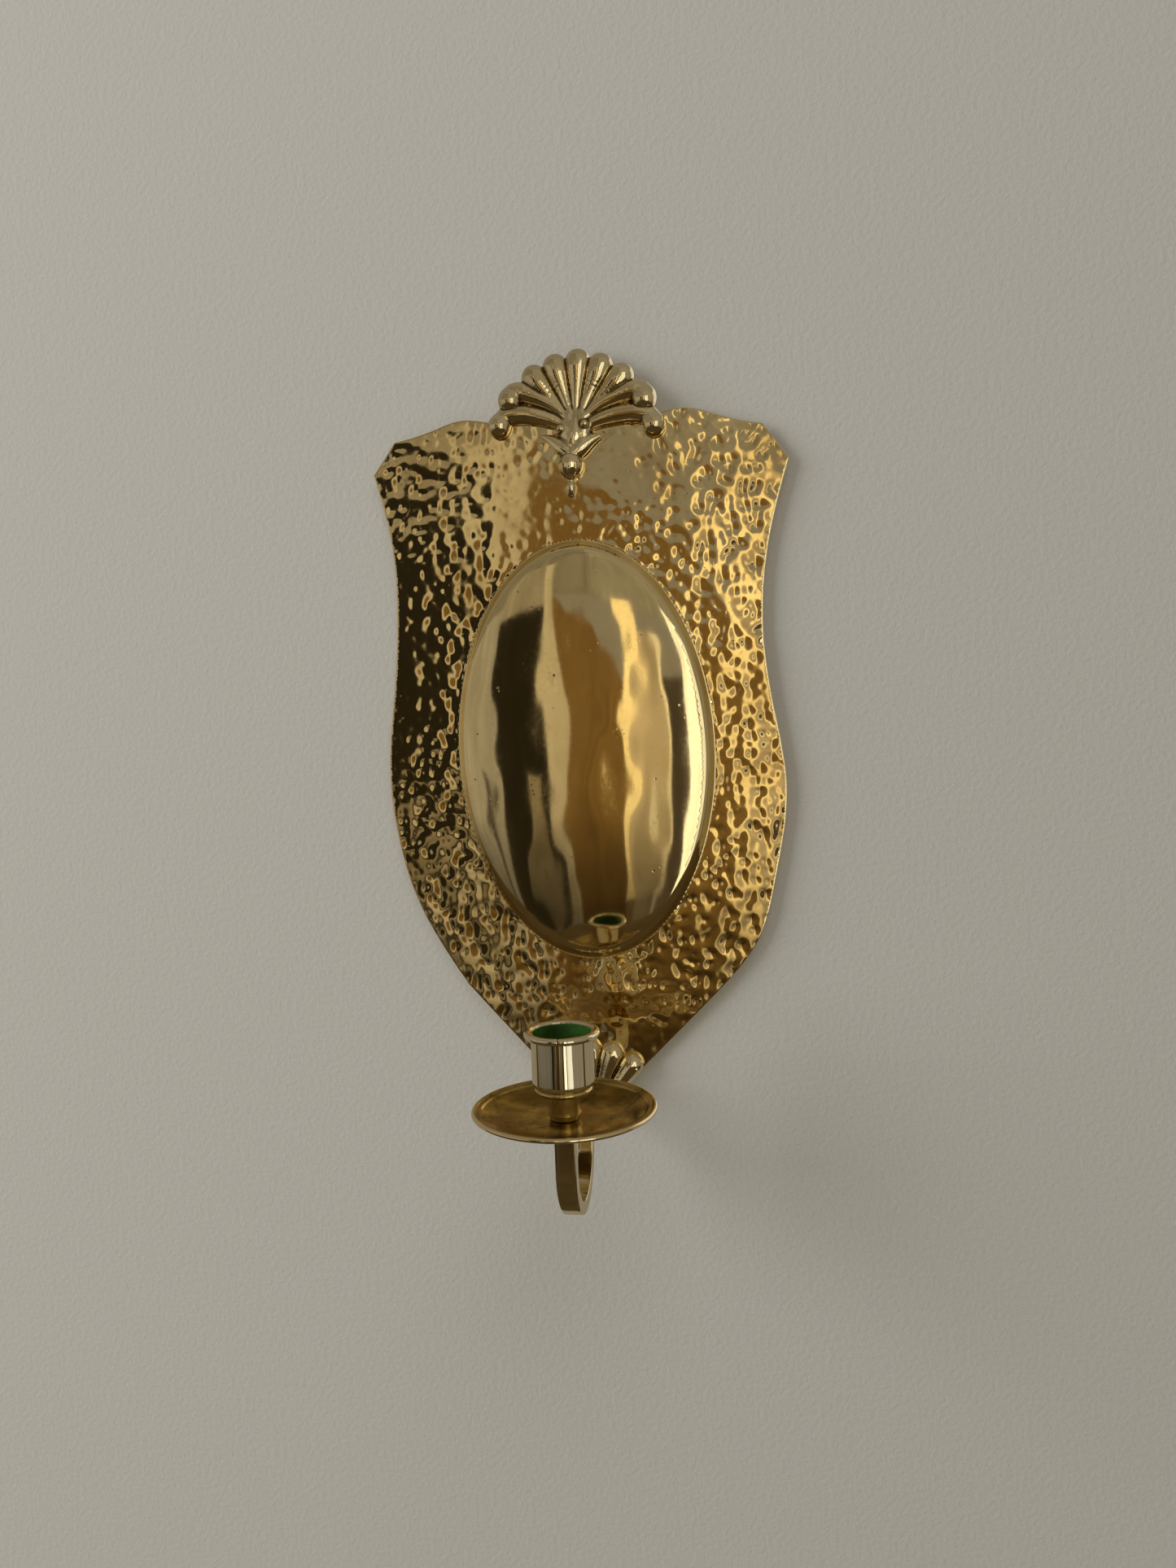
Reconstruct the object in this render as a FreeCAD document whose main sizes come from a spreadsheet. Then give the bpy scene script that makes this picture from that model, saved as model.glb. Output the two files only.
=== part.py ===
import FreeCAD, Part
import math
import os
import Sketcher
from FreeCAD import Matrix, Placement, Rotation, Vector

# Brass wall sconce for one candle, in millimetres. +Z is up, the front faces -Y and the wall is
# the plane Y = 0. The origin is the centre of the hanging eye, where the nail carries the sconce.

doc = FreeCAD.newDocument("wall_sconce")

# ---------------------------------------------------------------- driving dimensions
DIMENSIONS = [
    ("wall_gap", 4.0),            # from the wall to the back of the plate
    ("plate_thickness", 0.9),
    ("oval_across", 116.6),       # the raised oval, at its foot
    ("oval_tall", 188.8),
    ("oval_rise", 9.5),
    ("oval_shoulder", 3.325),     # rise of the steep shoulder, the rest is the crown
    ("oval_centre_x", 1.0),
    ("oval_centre_z", -117.9),
    ("oval_lean", 1.4),           # degrees, the top towards -X
    ("tip_x", -1.3),              # lower point of the plate
    ("tip_z", -287.8),
    ("crest_x", 2.4),             # the crest's hub
    ("crest_z", 25.8),
    ("crest_lean", 3.6),          # degrees, the top towards +X
    ("crest_screw_high", 0.5),    # screw heights, measured along the crest from its hub
    ("crest_screw_low", -16.0),
    ("shell_x", -1.5),            # the shell's hub
    ("shell_z", -286.5),
    ("shell_screw_spread", 8.6),
    ("shell_screw_z", -262.0),
    ("boss_depth", 6.4),
    ("boss_margin", 1.1),         # the block stands this far past the bar all round
    ("arm_x", 1.2),
    ("root_z", -274.5),           # where the arm meets the shell
    ("arm_thickness", 5.3),
    ("arm_wide_front", 8.4),
    ("arm_wide_back", 6.4),
    ("arm_reach", 84.9),          # from the wall to the centre of the cup
    ("bend_z", -280.4),           # centre of the U bend
    ("bend_radius", 22.65),
    ("root_bend_radius", 14.0),
    ("stud_radius", 2.0),
    ("stud_clearance", 0.1),
    ("stud_end", 0.4),            # the stud stops this far from the wall
    ("washer_radius", 4.5),
    ("washer_thickness", 0.8),
    ("nut_across_flats", 7.0),
    ("nut_thickness", 2.2),
    ("thread_clearance", 0.02),
    ("pan_radius", 36.4),
    ("pan_floor_radius", 20.0),
    ("pan_thickness", 0.9),
    ("pan_underside_z", -260.1),
    ("pan_height", 6.3),
    ("pan_bead_radius", 0.95),
    ("pan_cove", 40.0),           # radius of the dish's bend from its floor to its slope
    ("collar_radius", 6.65),
    ("collar_height", 10.6),
    ("collar_round", 1.2),
    ("disc_radius", 11.5),
    ("disc_thickness", 2.4),
    ("disc_round", 0.7),
    ("cup_radius", 12.3),
    ("cup_wall", 0.6),
    ("cup_height", 21.6),
    ("cup_round", 2.0),
    ("ring_wire", 1.45),
    ("ring_circle", 13.5),        # radius of the circle that the wire's centre follows
    ("ring_below_rim", 0.7),
    ("ring_sweep", 358.4),        # degrees, a closed bend but for its butt joint
    ("ring_joint", -85.8),        # degrees, where the butt joint faces
    ("liner_thickness", 0.3),
    ("liner_bottom", 2.2),        # above the underside of the cup
    ("liner_top", 0.3),           # below the mouth of the cup
    ("screw_hole", 1.75),
    ("screw_shank", 1.7),
    ("screw_head_radius", 3.2),
    ("screw_head_height", 1.4),
    ("screw_slot", 0.8),
    ("screw_point_gap", 1.0),     # the tapped hole runs this far past the screw
    ("screw_grip", 10.0),         # length of the screw inside the arm
    ("small_shank", 1.45),
    ("small_hole", 1.5),
    ("small_head_radius", 2.7),
    ("small_head_height", 1.6),
    ("small_grip", 3.0),          # depth of a small screw's hole in its casting
    ("small_point_gap", 0.3),
    ("strap_width", 10.0),
    ("strap_thickness", 1.2),
    ("strap_half", 20.0),
    ("strap_bridge_half", 8.0),
    ("strap_foot_half", 11.0),    # where the slope of the bridge reaches the foot
    ("eye_radius", 3.0),
]

sheet = doc.addObject("Spreadsheet::Sheet", "dims")
for row, (alias, number) in enumerate(DIMENSIONS, start=1):
    sheet.set("A%d" % row, alias)
    sheet.set("B%d" % row, str(number))
    sheet.setAlias("B%d" % row, alias)
doc.recompute()


class Size:
    """A length that knows both its number and the sheet expression that gives it."""

    def __init__(self, number, text):
        self.number = number
        self.text = text

    def _join(self, other, sign, number):
        text = other.text if isinstance(other, Size) else repr(float(other))
        return Size(number, "(%s %s %s)" % (self.text, sign, text))

    def __add__(self, other):
        return self._join(other, "+", self.number + value(other))

    def __sub__(self, other):
        return self._join(other, "-", self.number - value(other))

    def __mul__(self, other):
        return self._join(other, "*", self.number * value(other))

    def __truediv__(self, other):
        return self._join(other, "/", self.number / value(other))

    def __neg__(self):
        return Size(-self.number, "(0 - %s)" % self.text)


def value(item):
    return item.number if isinstance(item, Size) else float(item)


def dim(alias):
    return Size(float(sheet.get(alias)), "dims.%s" % alias)


def mm(alias):
    return float(sheet.get(alias))


# ---------------------------------------------------------------- small helpers
def new_body(label):
    body = doc.addObject("PartDesign::Body", label)
    body.Label = label
    return body


def new_sketch(body, name, role="XZ_Plane", offset=None):
    """A sketch on one of the body's own origin planes, moved out along its normal by offset."""
    sketch = body.newObject("Sketcher::SketchObject", name)
    plane = [feature for feature in body.Origin.OriginFeatures if feature.Role == role][0]
    sketch.AttachmentSupport = [(plane, "")]
    sketch.MapMode = "FlatFace"
    if offset is not None:
        sketch.setExpression(".AttachmentOffset.Base.z", offset.text)
    return sketch


def pin_point(sketch, geometry, end, x, y):
    """Hold one end of a line, or a centre, at x and y, each a Size or a plain zero."""
    for kind, axis, place in (("DistanceX", -2, x), ("DistanceY", -1, y)):
        if isinstance(place, Size):
            rule = Sketcher.Constraint(kind, -1, 1, geometry, end, place.number)
            index = sketch.addConstraint(rule)
            sketch.setExpression("Constraints[%d]" % index, place.text)
        else:
            sketch.addConstraint(Sketcher.Constraint("PointOnObject", geometry, end, axis))


def polygon(sketch, corners):
    """A closed outline through corners, every corner bound to the sheet."""
    places = [Vector(value(x), value(y), 0) for x, y in corners]
    following = places[1:] + places[:1]
    lines = [sketch.addGeometry(Part.LineSegment(start, end), False)
             for start, end in zip(places, following)]
    for line, after, (x, y) in zip(lines, lines[1:] + lines[:1], corners):
        sketch.addConstraint(Sketcher.Constraint("Coincident", line, 2, after, 1))
        pin_point(sketch, line, 1, x, y)


def circle(sketch, x, y, radius):
    shape = Part.Circle(Vector(value(x), value(y), 0), Vector(0, 0, 1), radius.number)
    index = sketch.addGeometry(shape, False)
    rule = sketch.addConstraint(Sketcher.Constraint("Radius", index, radius.number))
    sketch.setExpression("Constraints[%d]" % rule, radius.text)
    pin_point(sketch, index, 3, x, y)


def revolve(body, sketch, name="Turned"):
    feature = body.newObject("PartDesign::Revolution", name)
    feature.Profile = (sketch, [""])
    feature.ReferenceAxis = (sketch, ["V_Axis"])
    feature.Angle = 360.0
    sketch.Visibility = False
    return feature


def pad(body, sketch, length, both_ways=False, backwards=False, name="Pad"):
    feature = body.newObject("PartDesign::Pad", name)
    feature.Profile = (sketch, [""])
    feature.Midplane = both_ways
    feature.Reversed = backwards
    feature.setExpression("Length", length.text)
    return feature


def pocket_through(body, sketch, name="Pocket"):
    """Cut the sketch right through the body, and make sure that something was cut."""
    doc.recompute()
    before = body.Shape.Volume
    feature = body.newObject("PartDesign::Pocket", name)
    feature.Profile = (sketch, [""])
    feature.Type = "ThroughAll"
    feature.Midplane = True
    doc.recompute()
    assert body.Shape.Volume < before - 0.01, "%s cuts nothing from %s" % (name, body.Label)
    return feature


def fillet(body, base, radius, wanted, name="Fillet"):
    """Round every edge of base for which wanted(edge) is true."""
    doc.recompute()
    names = ["Edge%d" % (index + 1) for index, edge in enumerate(base.Shape.Edges) if wanted(edge)]
    assert names, "%s finds no edge on %s" % (name, body.Label)
    feature = body.newObject("PartDesign::Fillet", name)
    feature.Base = (base, names)
    feature.setExpression("Radius", radius.text)
    return feature


def ring_edge(radius, height):
    """Test for a full circular edge of this radius at this height."""
    def test(edge):
        round_edge = hasattr(edge.Curve, "Radius") and len(edge.Vertexes) == 1
        return (round_edge and abs(edge.Curve.Radius - radius.number) < 0.01
                and abs(edge.Curve.Center.z - value(height)) < 0.01)
    return test


def place(thing, x, y, z, rotation=None):
    """Set a Placement whose base follows the sheet."""
    thing.Placement = Placement(Vector(value(x), value(y), value(z)), rotation or Rotation())
    for axis, item in (("x", x), ("y", y), ("z", z)):
        if isinstance(item, Size):
            thing.setExpression("Placement.Base." + axis, item.text)


def fixed_shape(label, shape, placement=None):
    thing = doc.addObject("Part::Feature", label)
    thing.Label = label
    thing.Shape = shape
    thing.Placement = placement or Placement()
    return thing


def rod(radius, start, end):
    """A cylinder from start to end."""
    return Part.makeCylinder(radius, (end - start).Length, start, end - start)


plate_back = -dim("wall_gap")
plate_front = plate_back - dim("plate_thickness")
cup_x = dim("arm_x")
cup_y = -dim("arm_reach")
stud_hole = mm("stud_radius") + mm("stud_clearance")
PARTS = []


# ---------------------------------------------------------------- back plate
# The hand-cut outline, as (x, z). It isn't quite the same on both sides.
TOP_EDGE = [(-82.7, 26.3), (-66, 29.8), (-49.5, 33.8), (-36, 31.5), (0, 29.5),
            (36, 29.8), (51.5, 31.6), (68, 26.5), (84.6, 22.2)]
RIGHT_EDGE = [(95.4, 6.7), (87.7, -20), (82.4, -65), (86.2, -101.6), (90.8, -135.9),
              (84.4, -179.3), (77.7, -202.4), (57, -229.3)]
LEFT_EDGE = [(-58.6, -224.8), (-80.6, -186.1), (-89.4, -154.1), (-91.8, -125.3),
             (-87.8, -87.5), (-84.7, -50), (-86.2, -18.1), (-93.2, 12.1)]


def curve_through(points):
    curve = Part.BSplineCurve()
    curve.interpolate([Vector(x, 0, z) for x, z in points])
    return curve.toShape()


def straight(start, end):
    return Part.LineSegment(Vector(start[0], 0, start[1]), Vector(end[0], 0, end[1])).toShape()


def plate_outline():
    tip = (mm("tip_x"), mm("tip_z"))
    edges = [
        curve_through(TOP_EDGE),
        straight(TOP_EDGE[-1], RIGHT_EDGE[0]),
        curve_through(RIGHT_EDGE),
        straight(RIGHT_EDGE[-1], tip),
        straight(tip, LEFT_EDGE[0]),
        curve_through(LEFT_EDGE),
        straight(LEFT_EDGE[-1], TOP_EDGE[0]),
    ]
    return Part.Face(Part.Wire(edges))


SHOULDER_WIDTH = 0.06            # of the half width, at the oval's foot
CROWN_FULLNESS = 0.7             # 0.5 would be part of an ellipse, 1 a parabola
PROFILE_SHARES = (1.0, 0.985, 0.965, 0.94, 0.85, 0.65, 0.35, 0.0)
PROFILE_RADIUS = 100.0           # the oval is turned round at this radius and then stretched


def raised_oval(across, tall, foot):
    """The solid under the oval: a steep shoulder, then a shallow crown, standing on Y = foot."""
    rise, shoulder = mm("oval_rise"), mm("oval_shoulder")

    def height(share):
        step = min(1.0, (1.0 - share) / SHOULDER_WIDTH)
        crown = (rise - shoulder) * (1.0 - share ** 2) ** CROWN_FULLNESS
        return shoulder * math.sin(0.5 * math.pi * step) + crown

    curve = Part.BSplineCurve()
    curve.interpolate([Vector(PROFILE_RADIUS * share, -height(share), 0) for share in PROFILE_SHARES])
    centre = Vector(0, 0, 0)
    base = Part.LineSegment(centre, Vector(PROFILE_RADIUS, 0, 0)).toShape()
    axis = Part.LineSegment(Vector(0, -rise, 0), centre).toShape()
    face = Part.Face(Part.Wire([base, curve.toShape(), axis]))
    stretch = Matrix()
    stretch.scale(across / (2 * PROFILE_RADIUS), 1.0, tall / (2 * PROFILE_RADIUS))
    solid = face.revolve(centre, Vector(0, 1, 0), 360).transformGeometry(stretch)
    solid.rotate(centre, Vector(0, 1, 0), -mm("oval_lean"))
    solid.translate(Vector(mm("oval_centre_x"), foot, mm("oval_centre_z")))
    return solid


def crest_placement():
    base = Vector(mm("crest_x"), plate_front.number, mm("crest_z"))
    return Placement(base, Rotation(Vector(0, 1, 0), mm("crest_lean")))


def screw_points():
    """Where the small screws pass through the plate, as points on its front face."""
    crest = [crest_placement().multVec(Vector(0, 0, mm(key)))
             for key in ("crest_screw_high", "crest_screw_low")]
    shell = [Vector(mm("shell_x") + side * mm("shell_screw_spread"), plate_front.number,
                    mm("shell_screw_z")) for side in (-1, 1)]
    return crest, shell


def back_plate():
    thickness = mm("plate_thickness")
    sheet_metal = plate_outline().extrude(Vector(0, -thickness, 0))
    sheet_metal.translate(Vector(0, plate_back.number, 0))
    across, tall = mm("oval_across"), mm("oval_tall")
    outer = raised_oval(across, tall, plate_front.number)
    inner = raised_oval(across - 2 * thickness, tall - 2 * thickness, plate_back.number)
    plate = sheet_metal.fuse(outer).cut(inner)
    crest, shell = screw_points()
    forward = Vector(0, 2 * thickness, 0)
    for point in crest + shell:
        plate = plate.cut(rod(mm("small_hole"), point - forward, point + forward))
    root = Vector(mm("arm_x"), plate_front.number, mm("root_z"))
    plate = plate.cut(rod(stud_hole, root - forward, root + forward))
    return fixed_shape("back_plate", plate.removeSplitter())


PARTS.append(back_plate())


# ---------------------------------------------------------------- castings
def capsule(start, start_radius, end, end_radius):
    """One solid of revolution: two balls and the cone that touches both."""
    axis = end - start
    length = axis.Length
    tilt = math.asin((end_radius - start_radius) / length)
    turn = 0.5 * math.pi + tilt

    def rim(centre, radius, angle):
        return Vector(centre + radius * math.cos(angle), radius * math.sin(angle), 0)

    near, far = rim(0, start_radius, turn), rim(length, end_radius, turn)
    tail, nose = Vector(-start_radius, 0, 0), Vector(length + end_radius, 0, 0)
    edges = [
        Part.Arc(tail, rim(0, start_radius, 0.5 * (math.pi + turn)), near).toShape(),
        Part.LineSegment(near, far).toShape(),
        Part.Arc(far, rim(length, end_radius, 0.5 * turn), nose).toShape(),
        Part.LineSegment(nose, tail).toShape(),
    ]
    solid = Part.Face(Part.Wire(edges)).revolve(Vector(0, 0, 0), Vector(1, 0, 0), 360)
    solid.Placement = Placement(start, Rotation(Vector(1, 0, 0), axis))
    return solid


JOINT_SWELL = 0.01               # keeps the balls at a shared joint apart


def limb(path):
    """Tapering round limbs along path, a list of (x, z, y, radius) with y counted forwards."""
    pieces = []
    for step, (here, there) in enumerate(zip(path, path[1:])):
        swell = 1.0 + JOINT_SWELL * step
        ends = [Vector(x, -y, z) for x, z, y, radius in (here, there)]
        pieces.append(capsule(ends[0], here[3] * swell, ends[1], there[3] * swell))
    return pieces


BEHIND = 200.0                   # a block behind the castings, larger than either


def casting(pieces):
    """Join the pieces and take off whatever lies behind the flat back at Y = 0."""
    solid = pieces[0].multiFuse(pieces[1:])
    behind = Part.makeBox(BEHIND, BEHIND, BEHIND, Vector(-BEHIND / 2, 0, -BEHIND / 2))
    return solid.cut(behind)


def screw_bore(x, z):
    """The hole for a small screw in the back of a casting, at x and z of the casting's own frame."""
    return rod(mm("small_hole"), Vector(x, 1, z), Vector(x, -mm("small_grip"), z))


def mirrored(path):
    return [(-x, z, y, radius) for x, z, y, radius in path]


# The crest in its own frame: x across, z up from the hub, y forward from the flat back.
PETAL_ANGLES = (0, 20.4, 40.8)
PETAL_LENGTH = (29.2, 29.0, 30.0)
CREST_PETAL_RADIUS = 5.8
UPPER_SCROLL = [(2, 3, 0.5, 2.2), (16.5, 12.5, 0.5, 4.2), (26, 15.8, 0.5, 5.0),
                (30.6, 13.2, 1.5, 5.1)]
LOWER_SCROLL = [(3, 0, 0.5, 2.2), (16, 5, 0.5, 3.6), (30.4, 7, 0.5, 4.3), (35.4, 1.9, 1.5, 4.5)]
LEAF = [(0, -1.5, 1.2, 2.4), (12.6, -3.6, 2.0, 0.95)]
STEM = [(0, 4, 0.5, 3.0), (0, -12, 1.5, 2.6)]
BUD = [(0, -14, 1.4, 4.0), (0, -17.5, 1.6, 4.6)]
DROP = [(0, -19, 1.2, 3.0), (0, -28, 0.5, 1.9)]
PETAL_ROOT = 3.0                 # a petal starts this far from the hub
PETAL_FORWARD = 0.5
PETAL_THIN = 2.0


def petal(angle, length, thick):
    """A straight petal from near the hub outwards, as a limb."""
    turn = math.radians(angle)
    across, up = math.sin(turn), math.cos(turn)
    return [(PETAL_ROOT * across, PETAL_ROOT * up, PETAL_FORWARD, PETAL_THIN),
            (length * across, length * up, PETAL_FORWARD, thick)]


def crest():
    pieces = limb(STEM) + limb(BUD) + limb(DROP)
    for angle, length in zip(PETAL_ANGLES, PETAL_LENGTH):
        for side in ((1,) if angle == 0 else (-1, 1)):
            pieces += limb(petal(side * angle, length, CREST_PETAL_RADIUS))
    for path in (UPPER_SCROLL, LOWER_SCROLL, LEAF):
        pieces += limb(path) + limb(mirrored(path))
    solid = casting(pieces)
    for key in ("crest_screw_high", "crest_screw_low"):
        solid = solid.cut(screw_bore(0, mm(key)))
    return fixed_shape("crest", solid, crest_placement())


PARTS.append(crest())

SHELL_PITCH = 18.9
SHELL_LENGTH = 31.5
SHELL_PETAL_RADIUS = 5.3


def shell_boss():
    """A fan of five petals over the plate's point, with the block that the arm stands on."""
    pieces = []
    for step in (-2, -1, 0, 1, 2):
        pieces += limb(petal(step * SHELL_PITCH, SHELL_LENGTH, SHELL_PETAL_RADIUS))
    root = Vector(mm("arm_x") - mm("shell_x"), 0, mm("root_z") - mm("shell_z"))
    wide = mm("arm_wide_back") + 2 * mm("boss_margin")
    tall = mm("arm_thickness") + 2 * mm("boss_margin")
    depth = mm("boss_depth")
    pieces.append(Part.makeBox(wide, depth, tall, root - Vector(wide / 2, depth, tall / 2)))
    solid = casting(pieces)
    solid = solid.cut(rod(stud_hole, root + Vector(0, 1, 0), root - Vector(0, depth + 1, 0)))
    for side in (-1, 1):
        bore = screw_bore(side * mm("shell_screw_spread"), mm("shell_screw_z") - mm("shell_z"))
        solid = solid.cut(bore)
    base = Vector(mm("shell_x"), plate_front.number, mm("shell_z"))
    return fixed_shape("shell_boss", solid, Placement(base, Rotation()))


PARTS.append(shell_boss())


# ---------------------------------------------------------------- arm
CUT_PAST = 2.0                   # how far a cut runs past the metal


def arm_path(sketch):
    """Down from the pan, round the U, back over a second bend and into the shell."""
    pan_under, bend_z = dim("pan_underside_z"), dim("bend_z")
    reach, root_z = -dim("arm_reach"), dim("root_z")
    root_y = plate_front - dim("boss_depth")
    big, small = dim("bend_radius"), dim("root_bend_radius")
    centre = Vector(reach.number + big.number, bend_z.number, 0)
    # the second bend ends level at root_z and touches the first one
    drop = centre.y - (root_z.number - small.number)
    meet_angle = -math.asin(drop / (big.number + small.number))
    span = (big.number + small.number) * math.cos(meet_angle)
    second = Vector(centre.x + span, root_z.number - small.number, 0)
    top = Vector(reach.number, pan_under.number, 0)
    low = Vector(reach.number, bend_z.number, 0)
    crown = Vector(second.x, root_z.number, 0)
    end = Vector(root_y.number, root_z.number, 0)
    normal = Vector(0, 0, 1)
    first_arc = Part.ArcOfCircle(Part.Circle(centre, normal, big.number), math.pi,
                                 2 * math.pi + meet_angle)
    second_arc = Part.ArcOfCircle(Part.Circle(second, normal, small.number), 0.5 * math.pi,
                                  math.pi + meet_angle)
    sketch.addGeometry(Part.LineSegment(top, low), False)
    sketch.addGeometry(first_arc, False)
    sketch.addGeometry(second_arc, False)
    sketch.addGeometry(Part.LineSegment(crown, end), False)
    sketch.addConstraint(Sketcher.Constraint("Tangent", 0, 2, 1, 1))
    sketch.addConstraint(Sketcher.Constraint("Tangent", 1, 2, 2, 2))
    sketch.addConstraint(Sketcher.Constraint("Tangent", 2, 1, 3, 1))
    sketch.addConstraint(Sketcher.Constraint("Vertical", 0))
    sketch.addConstraint(Sketcher.Constraint("Horizontal", 3))
    for geometry, radius in ((1, big), (2, small)):
        rule = sketch.addConstraint(Sketcher.Constraint("Radius", geometry, radius.number))
        sketch.setExpression("Constraints[%d]" % rule, radius.text)
    pin_point(sketch, 0, 1, reach, pan_under)
    rule = sketch.addConstraint(Sketcher.Constraint("DistanceY", -1, 1, 1, 3, bend_z.number))
    sketch.setExpression("Constraints[%d]" % rule, bend_z.text)
    pin_point(sketch, 3, 2, root_y, root_z)


def arm():
    body = new_body("arm")
    path = new_sketch(body, "ArmPath", "YZ_Plane")
    arm_path(path)
    section = new_sketch(body, "ArmSection", "XY_Plane", dim("pan_underside_z"))
    half_wide, half_thick = dim("arm_wide_front") / 2, dim("arm_thickness") / 2
    reach = dim("arm_reach")
    polygon(section, [(half_wide, -reach - half_thick), (half_wide, -reach + half_thick),
                      (-half_wide, -reach + half_thick), (-half_wide, -reach - half_thick)])
    doc.recompute()
    bar = body.newObject("PartDesign::AdditivePipe", "Bar")
    bar.Profile = (section, [""])
    bar.Spine = (path, [""])
    doc.recompute()
    # the bar narrows from the cup end to its back leg
    taper = new_sketch(body, "Taper", "XY_Plane")
    narrow = dim("arm_wide_back") / 2
    start_y, end_y = -reach - half_thick, -reach + dim("bend_radius") * 2
    outside = half_wide + CUT_PAST
    back_y = plate_front
    for side in (1, -1):
        outline = [(half_wide, start_y), (outside, start_y), (outside, back_y), (narrow, back_y),
                   (narrow, end_y)]
        polygon(taper, [(x if side > 0 else -x, y) for x, y in outline])
    pocket_through(body, taper, "TaperCut")
    stud = new_sketch(body, "StudSection", "XZ_Plane", -(plate_front - dim("boss_depth")))
    circle(stud, 0, dim("root_z"), dim("stud_radius"))
    pad(body, stud, -(plate_front - dim("boss_depth")) - dim("stud_end"), backwards=True, name="Stud")
    doc.recompute()
    tapped = new_sketch(body, "ScrewHoleSection", "XY_Plane", dim("pan_underside_z"))
    circle(tapped, 0, -reach, dim("screw_hole"))
    before = body.Shape.Volume
    hole = body.newObject("PartDesign::Pocket", "ScrewHole")
    hole.Profile = (tapped, [""])
    hole.setExpression("Length", (dim("screw_grip") + dim("screw_point_gap")).text)
    doc.recompute()
    assert body.Shape.Volume < before - 10, "the screw hole cuts nothing from the arm"
    place(body, dim("arm_x"), 0, 0)
    return body


PARTS.append(arm())


def arm_washer():
    body = new_body("arm_washer")
    sketch = new_sketch(body, "WasherSection", "XZ_Plane", -plate_back)
    circle(sketch, dim("arm_x"), dim("root_z"), dim("washer_radius"))
    circle(sketch, dim("arm_x"), dim("root_z"), dim("stud_radius") + dim("stud_clearance"))
    pad(body, sketch, dim("washer_thickness"), backwards=True)
    place(body, 0, 0, 0)
    return body


PARTS.append(arm_washer())


def arm_nut():
    """A plain square nut on the stud, behind the plate."""
    body = new_body("arm_nut")
    sketch = new_sketch(body, "NutSection", "XZ_Plane", -(plate_back + dim("washer_thickness")))
    half = dim("nut_across_flats") / 2
    x, z = dim("arm_x"), dim("root_z")
    polygon(sketch, [(x - half, z - half), (x + half, z - half), (x + half, z + half),
                     (x - half, z + half)])
    circle(sketch, x, z, dim("stud_radius") + dim("thread_clearance"))
    pad(body, sketch, dim("nut_thickness"), backwards=True)
    place(body, 0, 0, 0)
    return body


PARTS.append(arm_nut())


# ---------------------------------------------------------------- pan, collar, disc and cup
pan_top = dim("pan_underside_z") + dim("pan_thickness")
collar_top = pan_top + dim("collar_height")
cup_bottom = collar_top + dim("disc_thickness")
cup_mouth = cup_bottom + dim("cup_height")


def drip_pan():
    body = new_body("drip_pan")
    sketch = new_sketch(body, "PanProfile")
    floor, thick = dim("pan_floor_radius"), dim("pan_thickness")
    bead, tall = dim("pan_bead_radius"), dim("pan_height")
    lip = dim("pan_radius") - bead
    middle = tall - bead
    polygon(sketch, [(dim("screw_hole"), 0), (floor, 0), (lip, middle - thick / 2),
                     (lip, middle + thick / 2), (floor, thick), (dim("screw_hole"), thick)])
    turned = revolve(body, sketch, "PanTurned")
    rounded = fillet(body, turned, dim("pan_cove"), ring_edge(floor, thick), "PanCove")
    fillet(body, rounded, dim("pan_cove") + thick, ring_edge(floor, 0), "PanUnderCove")
    edge = new_sketch(body, "BeadProfile")
    circle(edge, lip, middle, bead)
    revolve(body, edge, "RolledEdge")
    place(body, cup_x, cup_y, dim("pan_underside_z"))
    return body


def washer_shape(label, radius, height, z, rounding, round_top):
    """A turned spacer with a screw hole, rounded at its lower or at both outer edges."""
    body = new_body(label)
    sketch = new_sketch(body, label + "_profile")
    hole = dim("screw_hole")
    polygon(sketch, [(hole, 0), (radius, 0), (radius, height), (hole, height)])
    turned = revolve(body, sketch)
    rounded = fillet(body, turned, rounding, ring_edge(radius, 0), "LowerRound")
    if round_top:
        fillet(body, rounded, rounding, ring_edge(radius, height), "UpperRound")
    place(body, cup_x, cup_y, z)
    return body


def candle_cup():
    body = new_body("candle_cup")
    sketch = new_sketch(body, "CupProfile")
    radius, wall, tall = dim("cup_radius"), dim("cup_wall"), dim("cup_height")
    hole = dim("screw_hole")
    polygon(sketch, [(hole, 0), (radius, 0), (radius, tall), (radius - wall, tall),
                     (radius - wall, wall), (hole, wall)])
    turned = revolve(body, sketch)
    outside = fillet(body, turned, dim("cup_round"), ring_edge(radius, 0), "OuterRound")
    fillet(body, outside, dim("cup_round") - wall, ring_edge(radius - wall, wall), "InnerRound")
    place(body, cup_x, cup_y, cup_bottom)
    return body


def rim_ring():
    """Round wire bent about the mouth of the cup, filed to sit against it, its ends butted."""
    wire = doc.addObject("Part::Torus", "RingWire")
    wire.setExpression("Radius1", "dims.ring_circle")
    wire.setExpression("Radius2", "dims.ring_wire")
    wire.setExpression("Angle3", "dims.ring_sweep")
    wire.Placement = Placement(Vector(0, 0, 0), Rotation(Vector(0, 0, 1), mm("ring_joint")))
    core = doc.addObject("Part::Cylinder", "RingCore")
    core.setExpression("Radius", "dims.cup_radius")
    core.Height = 20
    core.Placement = Placement(Vector(0, 0, -10), Rotation())
    ring = doc.addObject("Part::Cut", "rim_ring")
    ring.Label = "rim_ring"
    ring.Base = wire
    ring.Tool = core
    place(ring, cup_x, cup_y, cup_mouth - dim("ring_below_rim"))
    return ring


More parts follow.
